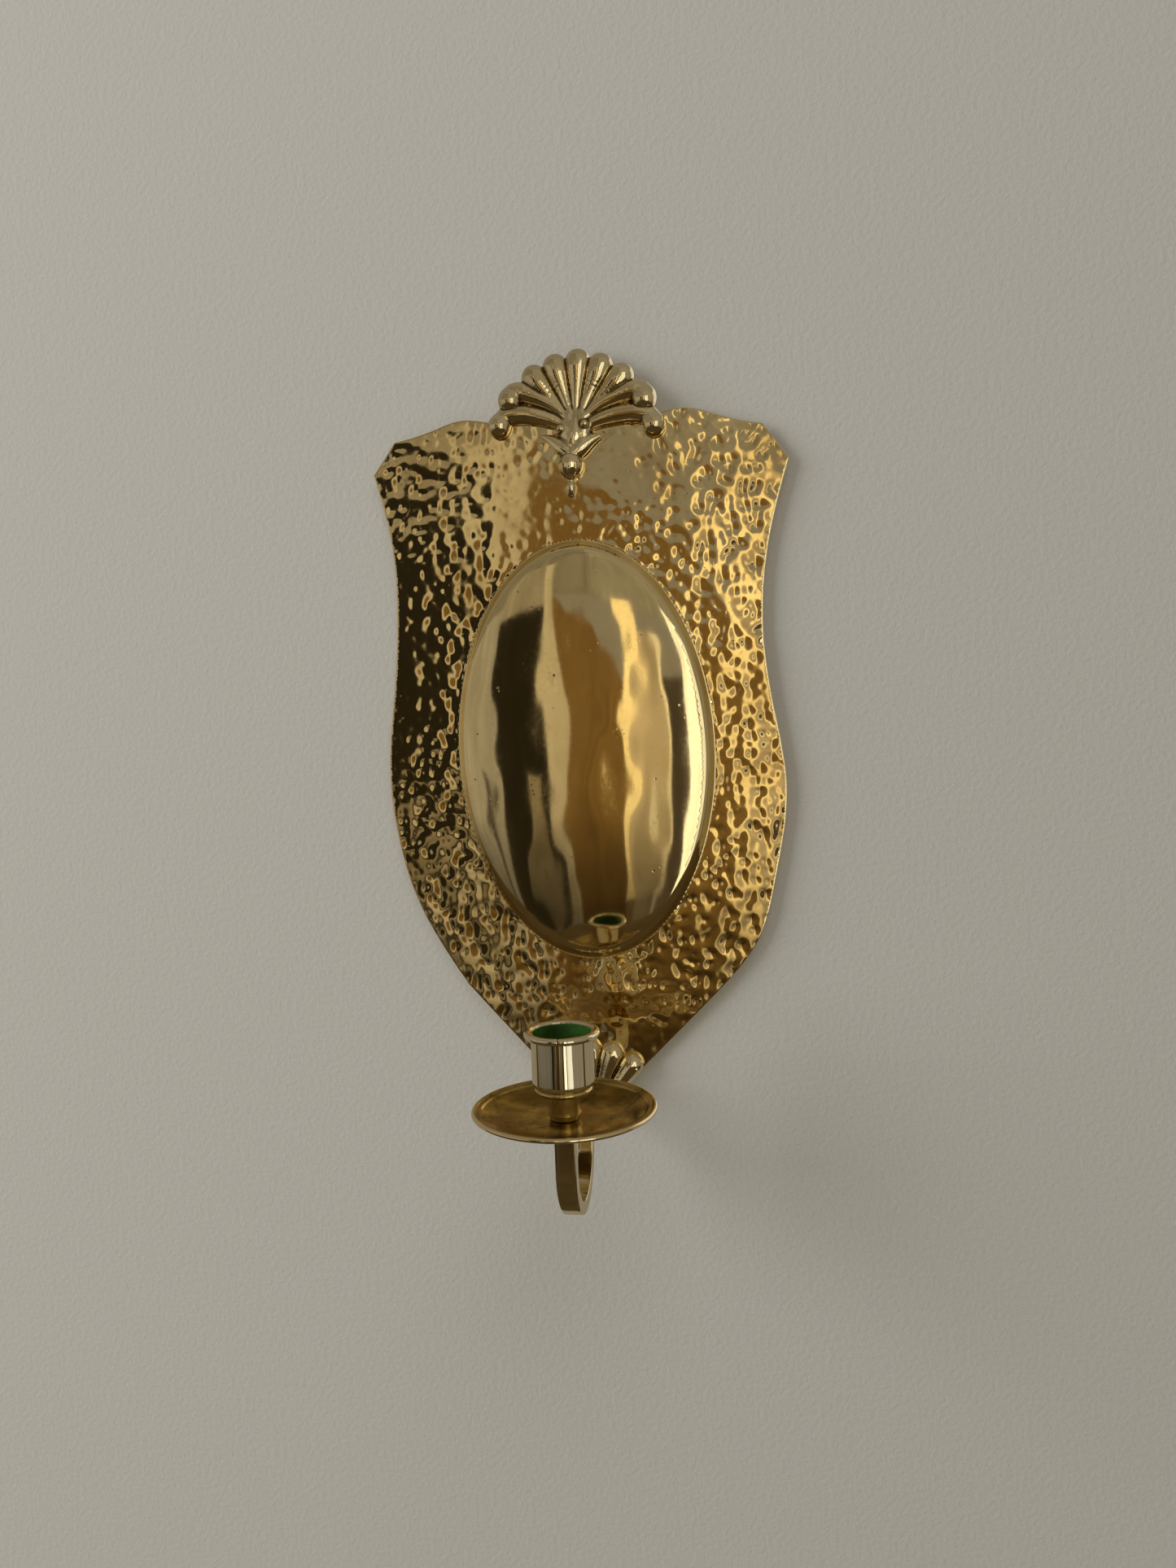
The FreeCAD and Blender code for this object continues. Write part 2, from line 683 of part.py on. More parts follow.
def cup_liner():
    body = new_body("cup_liner")
    sketch = new_sketch(body, "LinerProfile")
    outer = dim("cup_radius") - dim("cup_wall")
    inner = outer - dim("liner_thickness")
    tall = dim("cup_height") - dim("liner_bottom") - dim("liner_top")
    polygon(sketch, [(inner, 0), (outer, 0), (outer, tall), (inner, tall)])
    revolve(body, sketch)
    place(body, cup_x, cup_y, cup_bottom + dim("liner_bottom"))
    return body


SLOT_FLOOR = 0.45                # height of the slot's floor, as a share of the head's height


def slotted_screw(label, shank, length, head, head_height, slot):
    """A screw along Z: the head stands on Z = 0 and the shank hangs below it."""
    body = new_body(label)
    sketch = new_sketch(body, label + "_profile")
    polygon(sketch, [(0, -length), (shank, -length), (shank, 0), (head, 0), (head, head_height),
                     (0, head_height)])
    revolve(body, sketch)
    cut = new_sketch(body, label + "_slot", "XZ_Plane")
    half = slot / 2
    top = head_height + CUT_PAST
    floor = head_height * SLOT_FLOOR
    polygon(cut, [(-half, floor), (half, floor), (half, top), (-half, top)])
    pocket_through(body, cut, "Slot")
    return body


PARTS.append(drip_pan())
PARTS.append(washer_shape("neck_collar", dim("collar_radius"), dim("collar_height"), pan_top,
                          dim("collar_round"), False))
PARTS.append(washer_shape("base_disc", dim("disc_radius"), dim("disc_thickness"), collar_top,
                          dim("disc_round"), True))
PARTS.append(candle_cup())
PARTS.append(rim_ring())
PARTS.append(cup_liner())

screw_length = (dim("cup_wall") + dim("disc_thickness") + dim("collar_height")
                + dim("pan_thickness") + dim("screw_grip"))
cup_screw = slotted_screw("cup_screw", dim("screw_shank"), screw_length, dim("screw_head_radius"),
                          dim("screw_head_height"), dim("screw_slot"))
place(cup_screw, cup_x, cup_y, cup_bottom + dim("cup_wall"))
PARTS.append(cup_screw)


# ---------------------------------------------------------------- small screws and hanger
small_length = dim("plate_thickness") + dim("small_grip") - dim("small_point_gap")
small_screw = slotted_screw("small_screw_pattern", dim("small_shank"), small_length,
                            dim("small_head_radius"), dim("small_head_height"), dim("screw_slot"))
place(small_screw, 0, 0, 0)
doc.recompute()


def screw_group(label, points):
    """The same small screw at each point, put in from behind the plate."""
    from_behind = Rotation(Vector(1, 0, 0), -90)
    copies = []
    for point in points:
        copy = small_screw.Shape.copy()
        copy.Placement = Placement(Vector(point.x, plate_back.number, point.z), from_behind)
        copies.append(copy)
    return fixed_shape(label, Part.makeCompound(copies))


crest_points, shell_points = screw_points()
PARTS.append(screw_group("crest_screws", crest_points))
PARTS.append(screw_group("shell_screws", shell_points))


def hanger_strap():
    """A strip soldered to the back by its two feet, its bridge pierced with the hanging eye."""
    body = new_body("hanger_strap")
    sketch = new_sketch(body, "StrapProfile", "XY_Plane")
    thick = dim("strap_thickness")
    half, foot, bridge = dim("strap_half"), dim("strap_foot_half"), dim("strap_bridge_half")
    outer = [(half, plate_back), (half, plate_back + thick), (foot, plate_back + thick),
             (bridge, 0)]
    inner = [(bridge - thick / 2, -thick), (foot - thick / 2, plate_back)]
    left_outer = [(-x, y) for x, y in outer]
    left_inner = [(-x, y) for x, y in inner]
    polygon(sketch, left_outer + outer[::-1] + inner[::-1] + left_inner)
    pad(body, sketch, dim("strap_width"), both_ways=True, name="Strap")
    eye = new_sketch(body, "EyeSection", "XZ_Plane")
    circle(eye, 0, 0, dim("eye_radius"))
    pocket_through(body, eye, "Eye")
    place(body, 0, 0, 0)
    return body


PARTS.append(hanger_strap())

# ---------------------------------------------------------------- checks and export
doc.recompute()
for thing in doc.Objects:
    bad = [flag for flag in thing.State if flag in ("Invalid", "Error")]
    assert not bad, "%s: %s" % (thing.Label, thing.State)
for part in PARTS:
    assert not part.Shape.isNull(), part.Label
    assert part.Shape.isValid(), part.Label + " is not valid"

os.makedirs("parts", exist_ok=True)
for part in PARTS:
    part.Shape.exportStep("parts/%s.step" % part.Label)
    box = part.Shape.BoundBox
    print("%-14s solids %d  volume %9.1f  x %7.1f %7.1f  y %7.1f %6.1f  z %7.1f %7.1f" % (
        part.Label, len(part.Shape.Solids), part.Shape.Volume, box.XMin, box.XMax,
        box.YMin, box.YMax, box.ZMin, box.ZMax))
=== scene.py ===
import math
from itertools import product

import bpy
import numpy as np
from mathutils import Matrix, Vector, geometry


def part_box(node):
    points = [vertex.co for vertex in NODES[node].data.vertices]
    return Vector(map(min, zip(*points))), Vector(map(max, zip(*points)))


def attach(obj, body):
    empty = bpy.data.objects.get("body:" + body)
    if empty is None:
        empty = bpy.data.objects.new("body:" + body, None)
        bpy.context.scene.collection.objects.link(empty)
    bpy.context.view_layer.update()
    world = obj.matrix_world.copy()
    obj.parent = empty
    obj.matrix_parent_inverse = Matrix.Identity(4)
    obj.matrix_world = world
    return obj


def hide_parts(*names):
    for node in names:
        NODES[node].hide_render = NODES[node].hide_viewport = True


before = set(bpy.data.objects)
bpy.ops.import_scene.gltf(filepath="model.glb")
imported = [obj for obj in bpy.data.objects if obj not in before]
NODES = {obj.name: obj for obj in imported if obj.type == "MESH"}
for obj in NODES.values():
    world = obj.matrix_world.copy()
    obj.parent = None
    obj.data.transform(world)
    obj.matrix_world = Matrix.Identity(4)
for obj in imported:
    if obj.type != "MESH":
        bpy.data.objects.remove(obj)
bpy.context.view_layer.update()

# Brass wall sconce for one candle. +Z is up, the front faces -Y and the wall is the plane Y = 0.
# Shapes are worked out in millimetres and stored in metres.

MM = 0.001
BODY = "root"


# ---------------------------------------------------------------- numbers and noise
def node_box(name):
    """Lowest and highest corner of a CAD node, in millimetres."""
    low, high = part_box(name)
    return np.array(low) / MM, np.array(high) / MM


def smoothstep(low, high, value):
    share = np.clip((value - low) / (high - low), 0.0, 1.0)
    return share * share * (3.0 - 2.0 * share)


def lattice_value(column, row, seed):
    """A fixed random number from 0 to 1 for each whole-numbered lattice point."""
    mixed = (column * 374761393 + row * 668265263 + seed * 974634777) & 0xFFFFFFFF
    mixed = ((mixed ^ (mixed >> 13)) * 1274126177) & 0xFFFFFFFF
    mixed = ((mixed ^ (mixed >> 15)) * 2246822519) & 0xFFFFFFFF
    return ((mixed ^ (mixed >> 16)) & 0xFFFF) / 65535.0


def noise(u, v, seed):
    """Smooth noise from -1 to 1, with one lattice cell per unit."""
    column, row = np.floor(u).astype(np.int64), np.floor(v).astype(np.int64)
    fu, fv = u - column, v - row
    su = fu * fu * fu * (fu * (fu * 6.0 - 15.0) + 10.0)
    sv = fv * fv * fv * (fv * (fv * 6.0 - 15.0) + 10.0)
    low = lattice_value(column, row, seed) * (1 - su) + lattice_value(column + 1, row, seed) * su
    high = lattice_value(column, row + 1, seed) * (1 - su) + lattice_value(column + 1, row + 1, seed) * su
    return 2.0 * (low * (1 - sv) + high * sv) - 1.0


# ---------------------------------------------------------------- meshes
def new_object(name, data):
    """An object in the scene for a mesh, a lamp or a camera."""
    made = bpy.data.objects.new(name, data)
    bpy.context.scene.collection.objects.link(made)
    return made


def mesh_piece(name, points, faces, material, replaces, sharp=None):
    """A smooth-shaded mesh from points in millimetres, riding on the body in the CAD node's place."""
    mesh = bpy.data.meshes.new(name)
    mesh.from_pydata((np.asarray(points) * MM).tolist(), [], faces)
    mesh.validate()
    mesh.shade_smooth()
    if sharp is not None:
        mesh.set_sharp_from_angle(angle=math.radians(sharp))
    mesh.materials.append(material)
    piece = new_object(name, mesh)
    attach(piece, BODY)
    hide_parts(replaces)
    return piece


def point_values(piece, name, values):
    attribute = piece.data.attributes.new(name, "FLOAT", "POINT")
    attribute.data.foreach_set("value", np.asarray(values, np.float32))


# ---------------------------------------------------------------- materials
def node(tree, kind, **settings):
    """A shader node, with its plain properties and its inputs' values set by name."""
    made = tree.nodes.new("ShaderNode" + kind)
    for key, value in settings.items():
        if hasattr(made, key):
            setattr(made, key, value)
        else:
            made.inputs[key.replace("_", " ")].default_value = value
    return made


def link(tree, source, out, target, into):
    tree.links.new(source.outputs[out], target.inputs[into])


def scaled(tree, place, factors):
    """The coordinates that place gives, scaled along each axis."""
    made = node(tree, "Mapping")
    made.inputs["Scale"].default_value = factors
    link(tree, place, "Object", made, "Vector")
    return made


def texture(tree, kind, place, scale, **settings):
    """A texture on the object's coordinates, or on scaled ones."""
    made = node(tree, "Tex" + kind, Scale=scale, **settings)
    link(tree, place, "Object" if "Object" in place.outputs else "Vector", made, "Vector")
    return made


def spread(tree, source, out, low, high, to_low, to_high):
    """Map a value's range low..high onto to_low..to_high, clamped."""
    made = node(tree, "MapRange")
    for key, value in (("From Min", low), ("From Max", high), ("To Min", to_low), ("To Max", to_high)):
        made.inputs[key].default_value = value
    link(tree, source, out, made, "Value")
    return made


def combine(tree, operation, first, second):
    """A Math node on two inputs, each a node or a plain number."""
    made = node(tree, "Math", operation=operation, use_clamp=operation != "MULTIPLY")
    for index, item in enumerate((first, second)):
        if isinstance(item, (int, float)):
            made.inputs[index].default_value = item
        else:
            tree.links.new(item.outputs[0], made.inputs[index])
    return made


def blend_colours(tree, share, first, second):
    """Mix two colours, each a node or an (r, g, b), by a node that gives the share of the second."""
    made = node(tree, "Mix", data_type="RGBA")
    tree.links.new(share.outputs[0], made.inputs[0])
    for index, item in ((6, first), (7, second)):
        if isinstance(item, tuple):
            made.inputs[index].default_value = (*item, 1.0)
        else:
            tree.links.new(item.outputs[2], made.inputs[index])
    return made


def bump(tree, source, depth, strength=1.0, before=None):
    """A Bump node over a height, on top of an earlier one. A depth below zero sinks."""
    made = node(tree, "Bump", Distance=abs(depth), invert=depth < 0)
    made.inputs["Strength"].default_value = strength
    tree.links.new(source.outputs[0], made.inputs["Height"])
    if before is not None:
        link(tree, before, "Normal", made, "Normal")
    return made


def new_material(name):
    """A new material with its node tree, its shader and its texture coordinates."""
    material = bpy.data.materials.new(name)
    material.use_nodes = True
    tree = material.node_tree
    return material, tree, tree.nodes["Principled BSDF"], node(tree, "TexCoord")


# Texture scales are in cells per metre.
SPECK_SCALE = 620.0
PIT_SCALE = 330.0
PIT_PATCH_SCALE = 120.0
LINE_SCALE = 2600.0
LINE_STRETCH = (1.0, 1.0, 0.07)  # the polishing lines run upwards
PIT_COLOUR = (0.03, 0.02, 0.01)
PIT_DEPTH = 0.00012


def brass(name, bright, tarnish, amount, rough, grain, pits=0.0, pit_level=0.64, cavity=0.0, cloud=38.0,
          rubbed=None, rubbed_share=0.45, rubbed_colour=None):
    """Metal with clouds of tarnish, specks, fine polishing lines, pits and darker recesses.

    amount is how much of the surface the tarnish takes, rough is the (least, most) roughness and
    grain is the depth of the polishing lines in metres. pits is how dark the pits are, pit_level the
    noise level above which they come, cavity how much tarnish the recesses hold and cloud the scale of
    the tarnish. Where the point attribute called rubbed is 1, only rubbed_share of the tarnish is left,
    and the colour is near rubbed_colour."""
    material, tree, shader, place = new_material(name)
    shader.inputs["Metallic"].default_value = 1.0
    clouds = texture(tree, "Noise", place, cloud, Detail=6.0, Roughness=0.62, Distortion=0.4)
    specks = texture(tree, "Noise", place, SPECK_SCALE, Detail=3.0, Roughness=0.6)
    cloudy = spread(tree, clouds, "Fac", 0.42, 0.72, 0.0, 1.0)
    speckled = spread(tree, specks, "Fac", 0.50, 0.74, 0.0, 1.0)
    share = combine(tree, "ADD", combine(tree, "MULTIPLY", cloudy, amount),
                    combine(tree, "MULTIPLY", combine(tree, "MULTIPLY", speckled, cloudy), 0.6 * amount))
    if cavity:
        recess = node(tree, "Attribute", attribute_name="cavity")
        deep = spread(tree, recess, "Fac", 0.08, 0.75, 0.0, cavity)
        share = combine(tree, "ADD", share, deep)
    if rubbed:
        mask = node(tree, "Attribute", attribute_name=rubbed)
        keep = spread(tree, mask, "Fac", 0.0, 1.0, 1.0, rubbed_share)
        share = combine(tree, "MULTIPLY", share, keep)
    colour = blend_colours(tree, share, bright, tarnish)
    if rubbed_colour:
        colour = blend_colours(tree, spread(tree, mask, "Fac", 0.0, 1.0, 0.0, 0.85), colour, rubbed_colour)
    heights = []
    if pits:
        holes = texture(tree, "Voronoi", place, PIT_SCALE, Randomness=1.0)
        rare = texture(tree, "Noise", place, PIT_PATCH_SCALE, Detail=2.0)
        pitted = combine(tree, "MULTIPLY", spread(tree, holes, "Distance", 0.10, 0.22, 1.0, 0.0),
                         spread(tree, rare, "Fac", pit_level, pit_level + 0.06, 0.0, pits))
        colour = blend_colours(tree, pitted, colour, PIT_COLOUR)
        heights.append((pitted, -PIT_DEPTH))
    tree.links.new(colour.outputs[2], shader.inputs["Base Color"])
    dull = combine(tree, "ADD", combine(tree, "MULTIPLY", share, 0.75),
                   combine(tree, "MULTIPLY", speckled, 0.25))
    gloss = spread(tree, dull, 0, 0.0, 1.0, rough[0], rough[1])
    link(tree, gloss, 0, shader, "Roughness")
    lines = texture(tree, "Noise", scaled(tree, place, LINE_STRETCH), LINE_SCALE, Detail=2.0, Roughness=0.7)
    heights += [(lines, grain), (specks, grain * 1.6)]
    relief = None
    for source, depth in heights:
        relief = bump(tree, source, depth, before=relief)
    link(tree, relief, "Normal", shader, "Normal")
    return material


BRIGHT = (0.90, 0.755, 0.47)     # brass worn bright on an edge
HAMMERED = brass("hammered_brass", (0.88, 0.72, 0.40), (0.52, 0.34, 0.11), 0.42, (0.05, 0.18), 0.0000014,
                 pits=0.35, rubbed="oval")
CAST = brass("cast_brass", (0.88, 0.745, 0.46), (0.15, 0.10, 0.04), 0.28, (0.08, 0.26), 0.0000020, cavity=1.0)
BAR = brass("bar_brass", (0.84, 0.73, 0.47), (0.40, 0.31, 0.14), 0.40, (0.10, 0.24), 0.0000025)
POLISHED = brass("polished_brass", (0.80, 0.715, 0.525), (0.55, 0.43, 0.22), 0.22, (0.05, 0.14), 0.0000012)
DULL = brass("dull_brass", (0.53, 0.39, 0.145), (0.11, 0.068, 0.017), 0.95, (0.12, 0.34), 0.000004, pits=0.6,
             pit_level=0.55, cloud=70.0, rubbed="rubbed", rubbed_share=0.1, rubbed_colour=BRIGHT)
TURNED = brass("turned_brass", (0.64, 0.49, 0.20), (0.24, 0.16, 0.05), 0.60, (0.14, 0.32), 0.000003)
FASTENER = brass("fastener_brass", (0.78, 0.62, 0.32), (0.25, 0.16, 0.06), 0.75, (0.22, 0.42), 0.000004)


def green_coating():
    """Smooth green coating, a little cloudy."""
    material, tree, shader, place = new_material("green_lining")
    clouds = texture(tree, "Noise", place, 160.0, Detail=5.0, Roughness=0.6)
    share = spread(tree, clouds, "Fac", 0.38, 0.68, 0.0, 1.0)
    colour = blend_colours(tree, share, (0.034, 0.074, 0.012), (0.046, 0.150, 0.030))
    tree.links.new(colour.outputs[2], shader.inputs["Base Color"])
    link(tree, spread(tree, clouds, "Fac", 0.3, 0.7, 0.22, 0.42), 0, shader, "Roughness")
    fine = texture(tree, "Noise", place, 1400.0, Detail=2.0)
    link(tree, bump(tree, fine, 0.00004, 0.5), "Normal", shader, "Normal")
    shader.inputs["Specular IOR Level"].default_value = 0.3
    return material


LINING = green_coating()


# ---------------------------------------------------------------- back plate
# Lengths are in millimetres, and places on the plate are (x, z).
plate_low, plate_high = node_box("back_plate")
PLATE_BACK = 4.0                 # forward of the wall
PLATE_FRONT = 4.9
PLATE_BEVEL = 0.13
OVAL_CENTRE = (1.0, -117.9)
OVAL_HALF = (58.3, 94.4)
OVAL_LEAN = math.radians(1.4)
OVAL_RISE = 9.5
SHOULDER = 0.35 * OVAL_RISE      # height of the steep part at the oval's foot
SHOULDER_SHARE = 0.06            # and its width as a share of the oval's half
CREST_HUB = (2.4, 25.8)
CREST_LEAN = math.radians(3.6)
SHELL_HUB = (-1.5, -286.5)
STEP_FRONT = 0.75                # spacing of the front's mesh points
STEP_OVAL = 1.4
STEP_BACK = 1.8
SHARP_TURN = math.radians(14)    # a turn of the outline that counts as a corner
# Offsets from the oval's foot of the rings of points about it, and the spacing along them.
FRONT_RINGS = (-3.6, -2.7, -1.9, -1.2, -0.6, -0.15, 0.25, 0.6, 0.95, 1.4, 1.95)
FRONT_RING_STEP = 0.78
BACK_RINGS = (-5.0, -3.4, -2.2, -1.3, -0.6)
BACK_RING_STEP = 1.5
# The plain lattices lie outside these offsets, clear of the rings.
FRONT_CLEAR = (-4.4, 2.35)
BACK_CLEAR = (-6.2, 0.6)

MARK_CELL = 5.2                  # spacing of the hammer marks
MARK_SPREAD = 0.76               # how far a mark strays within its cell
# Where the hammering is light: (x, z, reach across, reach up, share taken off).
CALM_PATCHES = ((2, 8, 36, 24, 0.84), (-32, -7, 26, 24, 0.78))
PUNCH_COUNT = 205                # punch marks of the chased line about the oval

TOP_EDGE = ((-82.7, 26.3), (-66, 29.8), (-49.5, 33.8), (-36, 31.5), (0, 29.5), (36, 29.8), (51.5, 31.6),
            (68, 26.5), (84.6, 22.2))
RIGHT_EDGE = ((95.4, 6.7), (87.7, -20), (82.4, -65), (86.2, -101.6), (90.8, -135.9), (84.4, -179.3),
              (77.7, -202.4), (57, -229.3))
TIP = (-1.3, -287.8)
LEFT_EDGE = ((-58.6, -224.8), (-80.6, -186.1), (-89.4, -154.1), (-91.8, -125.3), (-87.8, -87.5), (-84.7, -50),
             (-86.2, -18.1), (-93.2, 12.1))


def spline(knots, step=0.25):
    """A natural cubic curve through the knots, as points at about this step."""
    knots = np.array(knots, float)
    gaps = np.linalg.norm(np.diff(knots, axis=0), axis=1)
    count = len(knots)
    system, target = np.eye(count), np.zeros_like(knots)
    slopes = np.diff(knots, axis=0) / gaps[:, None]
    for i in range(1, count - 1):
        system[i, i - 1:i + 2] = gaps[i - 1], 2 * (gaps[i - 1] + gaps[i]), gaps[i]
        target[i] = 6 * (slopes[i] - slopes[i - 1])
    bend = np.linalg.solve(system, target)
    places = np.concatenate([[0], np.cumsum(gaps)])
    wanted = np.linspace(0, places[-1], int(places[-1] / step))
    at = np.clip(np.searchsorted(places, wanted, side="right") - 1, 0, count - 2)
    t = (wanted - places[at])[:, None]
    gap = gaps[at][:, None]
    return (knots[at] + t * (slopes[at] - gap * (2 * bend[at] + bend[at + 1]) / 6)
            + t ** 2 * bend[at] / 2 + t ** 3 * (bend[at + 1] - bend[at]) / (6 * gap))


def plate_outline():
    """The plate's outer edge as a closed loop of (x, z), kept inside the CAD plate's box."""
    loop = np.concatenate([spline(TOP_EDGE), spline(RIGHT_EDGE), [TIP], spline(LEFT_EDGE)])
    return np.clip(loop, plate_low[[0, 2]], plate_high[[0, 2]])


def resample(loop, step):
    """Points at about this step along a closed loop, keeping every sharp corner."""
    before, after = np.roll(loop, 1, 0), np.roll(loop, -1, 0)
    heading_in = np.arctan2(*(loop - before).T[::-1])
    heading_out = np.arctan2(*(after - loop).T[::-1])
    turn = np.abs((heading_out - heading_in + math.pi) % (2 * math.pi) - math.pi)
    corners = np.nonzero(turn > SHARP_TURN)[0]
    points = []
    for start, end in zip(corners, np.roll(corners, -1)):
        count = (end - start) % len(loop)
        run = loop[np.arange(start, start + count + 1) % len(loop)]
        along = np.concatenate([[0], np.cumsum(np.linalg.norm(np.diff(run, axis=0), axis=1))])
        wanted = np.linspace(0, along[-1], max(2, int(round(along[-1] / step))) + 1)[:-1]
        points.append(np.stack([np.interp(wanted, along, run[:, 0]), np.interp(wanted, along, run[:, 1])], 1))
    return np.concatenate(points)


def signed_area(loop):
    """Twice the loop's area, positive where it runs anticlockwise."""
    return np.sum(loop[:, 0] * np.roll(loop[:, 1], -1) - np.roll(loop[:, 0], -1) * loop[:, 1])


def outward_normals(loop):
    along = np.roll(loop, -1, 0) - np.roll(loop, 1, 0)
    along /= np.linalg.norm(along, axis=1)[:, None]
    normal = np.stack([along[:, 1], -along[:, 0]], 1)
    return normal if signed_area(loop) > 0 else -normal


def inside_loop(points, loop):
    """True for each point inside the closed loop."""
    result = np.zeros(len(points), bool)
    for (x0, z0), (x1, z1) in zip(loop, np.roll(loop, -1, 0)):
        if z0 == z1:
            continue
        spans = (points[:, 1] > z0) != (points[:, 1] > z1)
        result ^= spans & (points[:, 0] < x0 + (points[:, 1] - z0) * (x1 - x0) / (z1 - z0))
    return result


def distance_to(points, loop):
    """Distance of each point from the nearest of the loop's points."""
    result = np.empty(len(points))
    for start in range(0, len(points), 4000):
        part = points[start:start + 4000, None, :] - loop[None, :, :]
        result[start:start + 4000] = np.sqrt((part ** 2).sum(2).min(1))
    return result


def oval_place(x, z, shrink=0.0):
    """Share of the way from the oval's centre to its foot, and how far outside the foot it is."""
    dx, dz = x - OVAL_CENTRE[0], z - OVAL_CENTRE[1]
    c, s = math.cos(OVAL_LEAN), math.sin(OVAL_LEAN)
    u, v = dx * c + dz * s, dz * c - dx * s
    share = np.sqrt((u / (OVAL_HALF[0] - shrink)) ** 2 + (v / (OVAL_HALF[1] - shrink)) ** 2)
    radius = np.hypot(u, v)
    beyond = np.where(share > 1e-6, radius * (1.0 - 1.0 / np.maximum(share, 1e-6)), -OVAL_HALF[0])
    return share, beyond, np.arctan2(v / OVAL_HALF[1], u / OVAL_HALF[0])


def oval_height(share):
    inner = np.clip(1.0 - share, 0.0, 1.0)
    step = np.minimum(1.0, inner / SHOULDER_SHARE)
    crown = (OVAL_RISE - SHOULDER) * np.clip(1.0 - share ** 2, 0.0, 1.0) ** 0.7
    return np.where(share < 1.0, SHOULDER * np.sin(0.5 * math.pi * step) + crown, 0.0)


def hammer_marks(x, z):
    """Depth of the hammer's dimples: one per cell of a jittered lattice, each with its own shape."""
    depth = np.zeros_like(x)
    column, row = np.floor(x / MARK_CELL).astype(np.int64), np.floor(z / MARK_CELL).astype(np.int64)
    start = (1.0 - MARK_SPREAD) / 2
    for across, up in product((-1, 0, 1), repeat=2):
        i, j = column + across, row + up
        dx = x - (i + start + MARK_SPREAD * lattice_value(i, j, 11)) * MARK_CELL
        dz = z - (j + start + MARK_SPREAD * lattice_value(i, j, 12)) * MARK_CELL
        angle = math.pi * lattice_value(i, j, 13)
        size = 1.45 + 0.95 * lattice_value(i, j, 14) ** 1.3
        longer = 1.0 + 0.60 * lattice_value(i, j, 15) ** 2
        deep = 0.035 + 0.130 * lattice_value(i, j, 16) ** 1.4
        along = (dx * np.cos(angle) + dz * np.sin(angle)) / (size * longer)
        aside = (dz * np.cos(angle) - dx * np.sin(angle)) / size
        depth += deep * size * np.exp(-(along ** 2 + aside ** 2))
    return depth


def hammer_strength(x, z):
    """Share of the full depth: less below the crest, beside it, at the left edge and at the point."""
    strength = 1.0 - 0.60 * (1.0 - smoothstep(-252, -222, z))
    for middle_x, middle_z, across, up, share in CALM_PATCHES:
        strength *= 1.0 - share * np.exp(-((x - middle_x) / across) ** 2 - ((z - middle_z) / up) ** 2)
    strength *= 1.0 - 0.60 * np.exp(-((x + 84) / 19) ** 2 - ((z + 62) / 54) ** 4)
    return strength


def sheet_bend(x, z):
    """The slow unevenness of the hand-worked sheet, none under the two castings."""
    slow = 0.34 * noise(x / 46 + 3.1, z / 52 + 1.7, 21) + 0.12 * noise(x / 17, z / 19, 22)
    crest = np.exp(-((x - CREST_HUB[0]) / 44) ** 2 - ((z - 30) / 26) ** 2)
    shell = np.exp(-((x - SHELL_HUB[0]) / 18) ** 2 - ((z + 270) / 20) ** 2)
    return slow * (1.0 - np.clip(crest + shell, 0.0, 1.0)) - 0.12


def front_height(x, z):
    """How far the plate's front stands forward of the wall."""
    share, beyond, angle = oval_place(x, z)
    outside = smoothstep(0.2, 1.8, beyond)
    marks = hammer_marks(x, z) * hammer_strength(x, z)
    marks += 0.045 * (1.0 + noise(x / 7.5, z / 8.5, 23)) * hammer_strength(x, z)
    inside = smoothstep(0.0, 7.0, -beyond)
    swell = 0.10 * noise(x / 15, z / 34, 31) + 0.05 * noise(x / 7.0, z / 17, 32)
    punch = 0.5 + 0.5 * np.cos(angle * PUNCH_COUNT + 2.0 * noise(angle * 9, angle * 0 + 0.5, 33))
    chased = (0.06 + 0.12 * punch) * np.exp(-((beyond - 0.35) / 0.42) ** 2)
    return (PLATE_FRONT + oval_height(share) + sheet_bend(x, z) - marks * outside + swell * inside
            - chased)


def back_height(x, z):
    """How far the sheet's back stands forward of the wall: the front's shape, with softer marks."""
    share, beyond, _ = oval_place(x, z, shrink=PLATE_FRONT - PLATE_BACK)
    outside = smoothstep(0.4, 4.0, beyond)
    return (PLATE_BACK + oval_height(share) + sheet_bend(x, z)
            - 0.6 * hammer_marks(x, z) * hammer_strength(x, z) * outside)


def ring_points(offset, step):
    """Points along the oval's foot, offset outwards."""
    around = 2 * math.pi * math.sqrt((OVAL_HALF[0] ** 2 + OVAL_HALF[1] ** 2) / 2)
    count = int(around / step)
    angle = (np.arange(count) + 0.5 * (round(offset * 100) % 2)) * 2 * math.pi / count
    u, v = OVAL_HALF[0] * np.cos(angle), OVAL_HALF[1] * np.sin(angle)
    nu, nv = np.cos(angle) / OVAL_HALF[0], np.sin(angle) / OVAL_HALF[1]
    length = np.hypot(nu, nv)
    u, v = u + offset * nu / length, v + offset * nv / length
    c, s = math.cos(OVAL_LEAN), math.sin(OVAL_LEAN)
    return np.stack([OVAL_CENTRE[0] + u * c - v * s, OVAL_CENTRE[1] + v * c + u * s], 1)


def lattice(step, low, high):
    """A triangular lattice of points, very slightly shaken so that no four share a circle."""
    xs = np.arange(low[0], high[0], step)
    zs = np.arange(low[1], high[1], step * math.sqrt(0.75))
    x, z = np.meshgrid(xs, zs)
    x = x + (np.arange(len(zs)) % 2)[:, None] * step / 2
    i, j = np.meshgrid(np.arange(len(xs)), np.arange(len(zs)))
    x = x + 0.04 * step * (lattice_value(i, j, 41) - 0.5)
    z = z + 0.04 * step * (lattice_value(i, j, 42) - 0.5)
    return np.stack([x.ravel(), z.ravel()], 1)


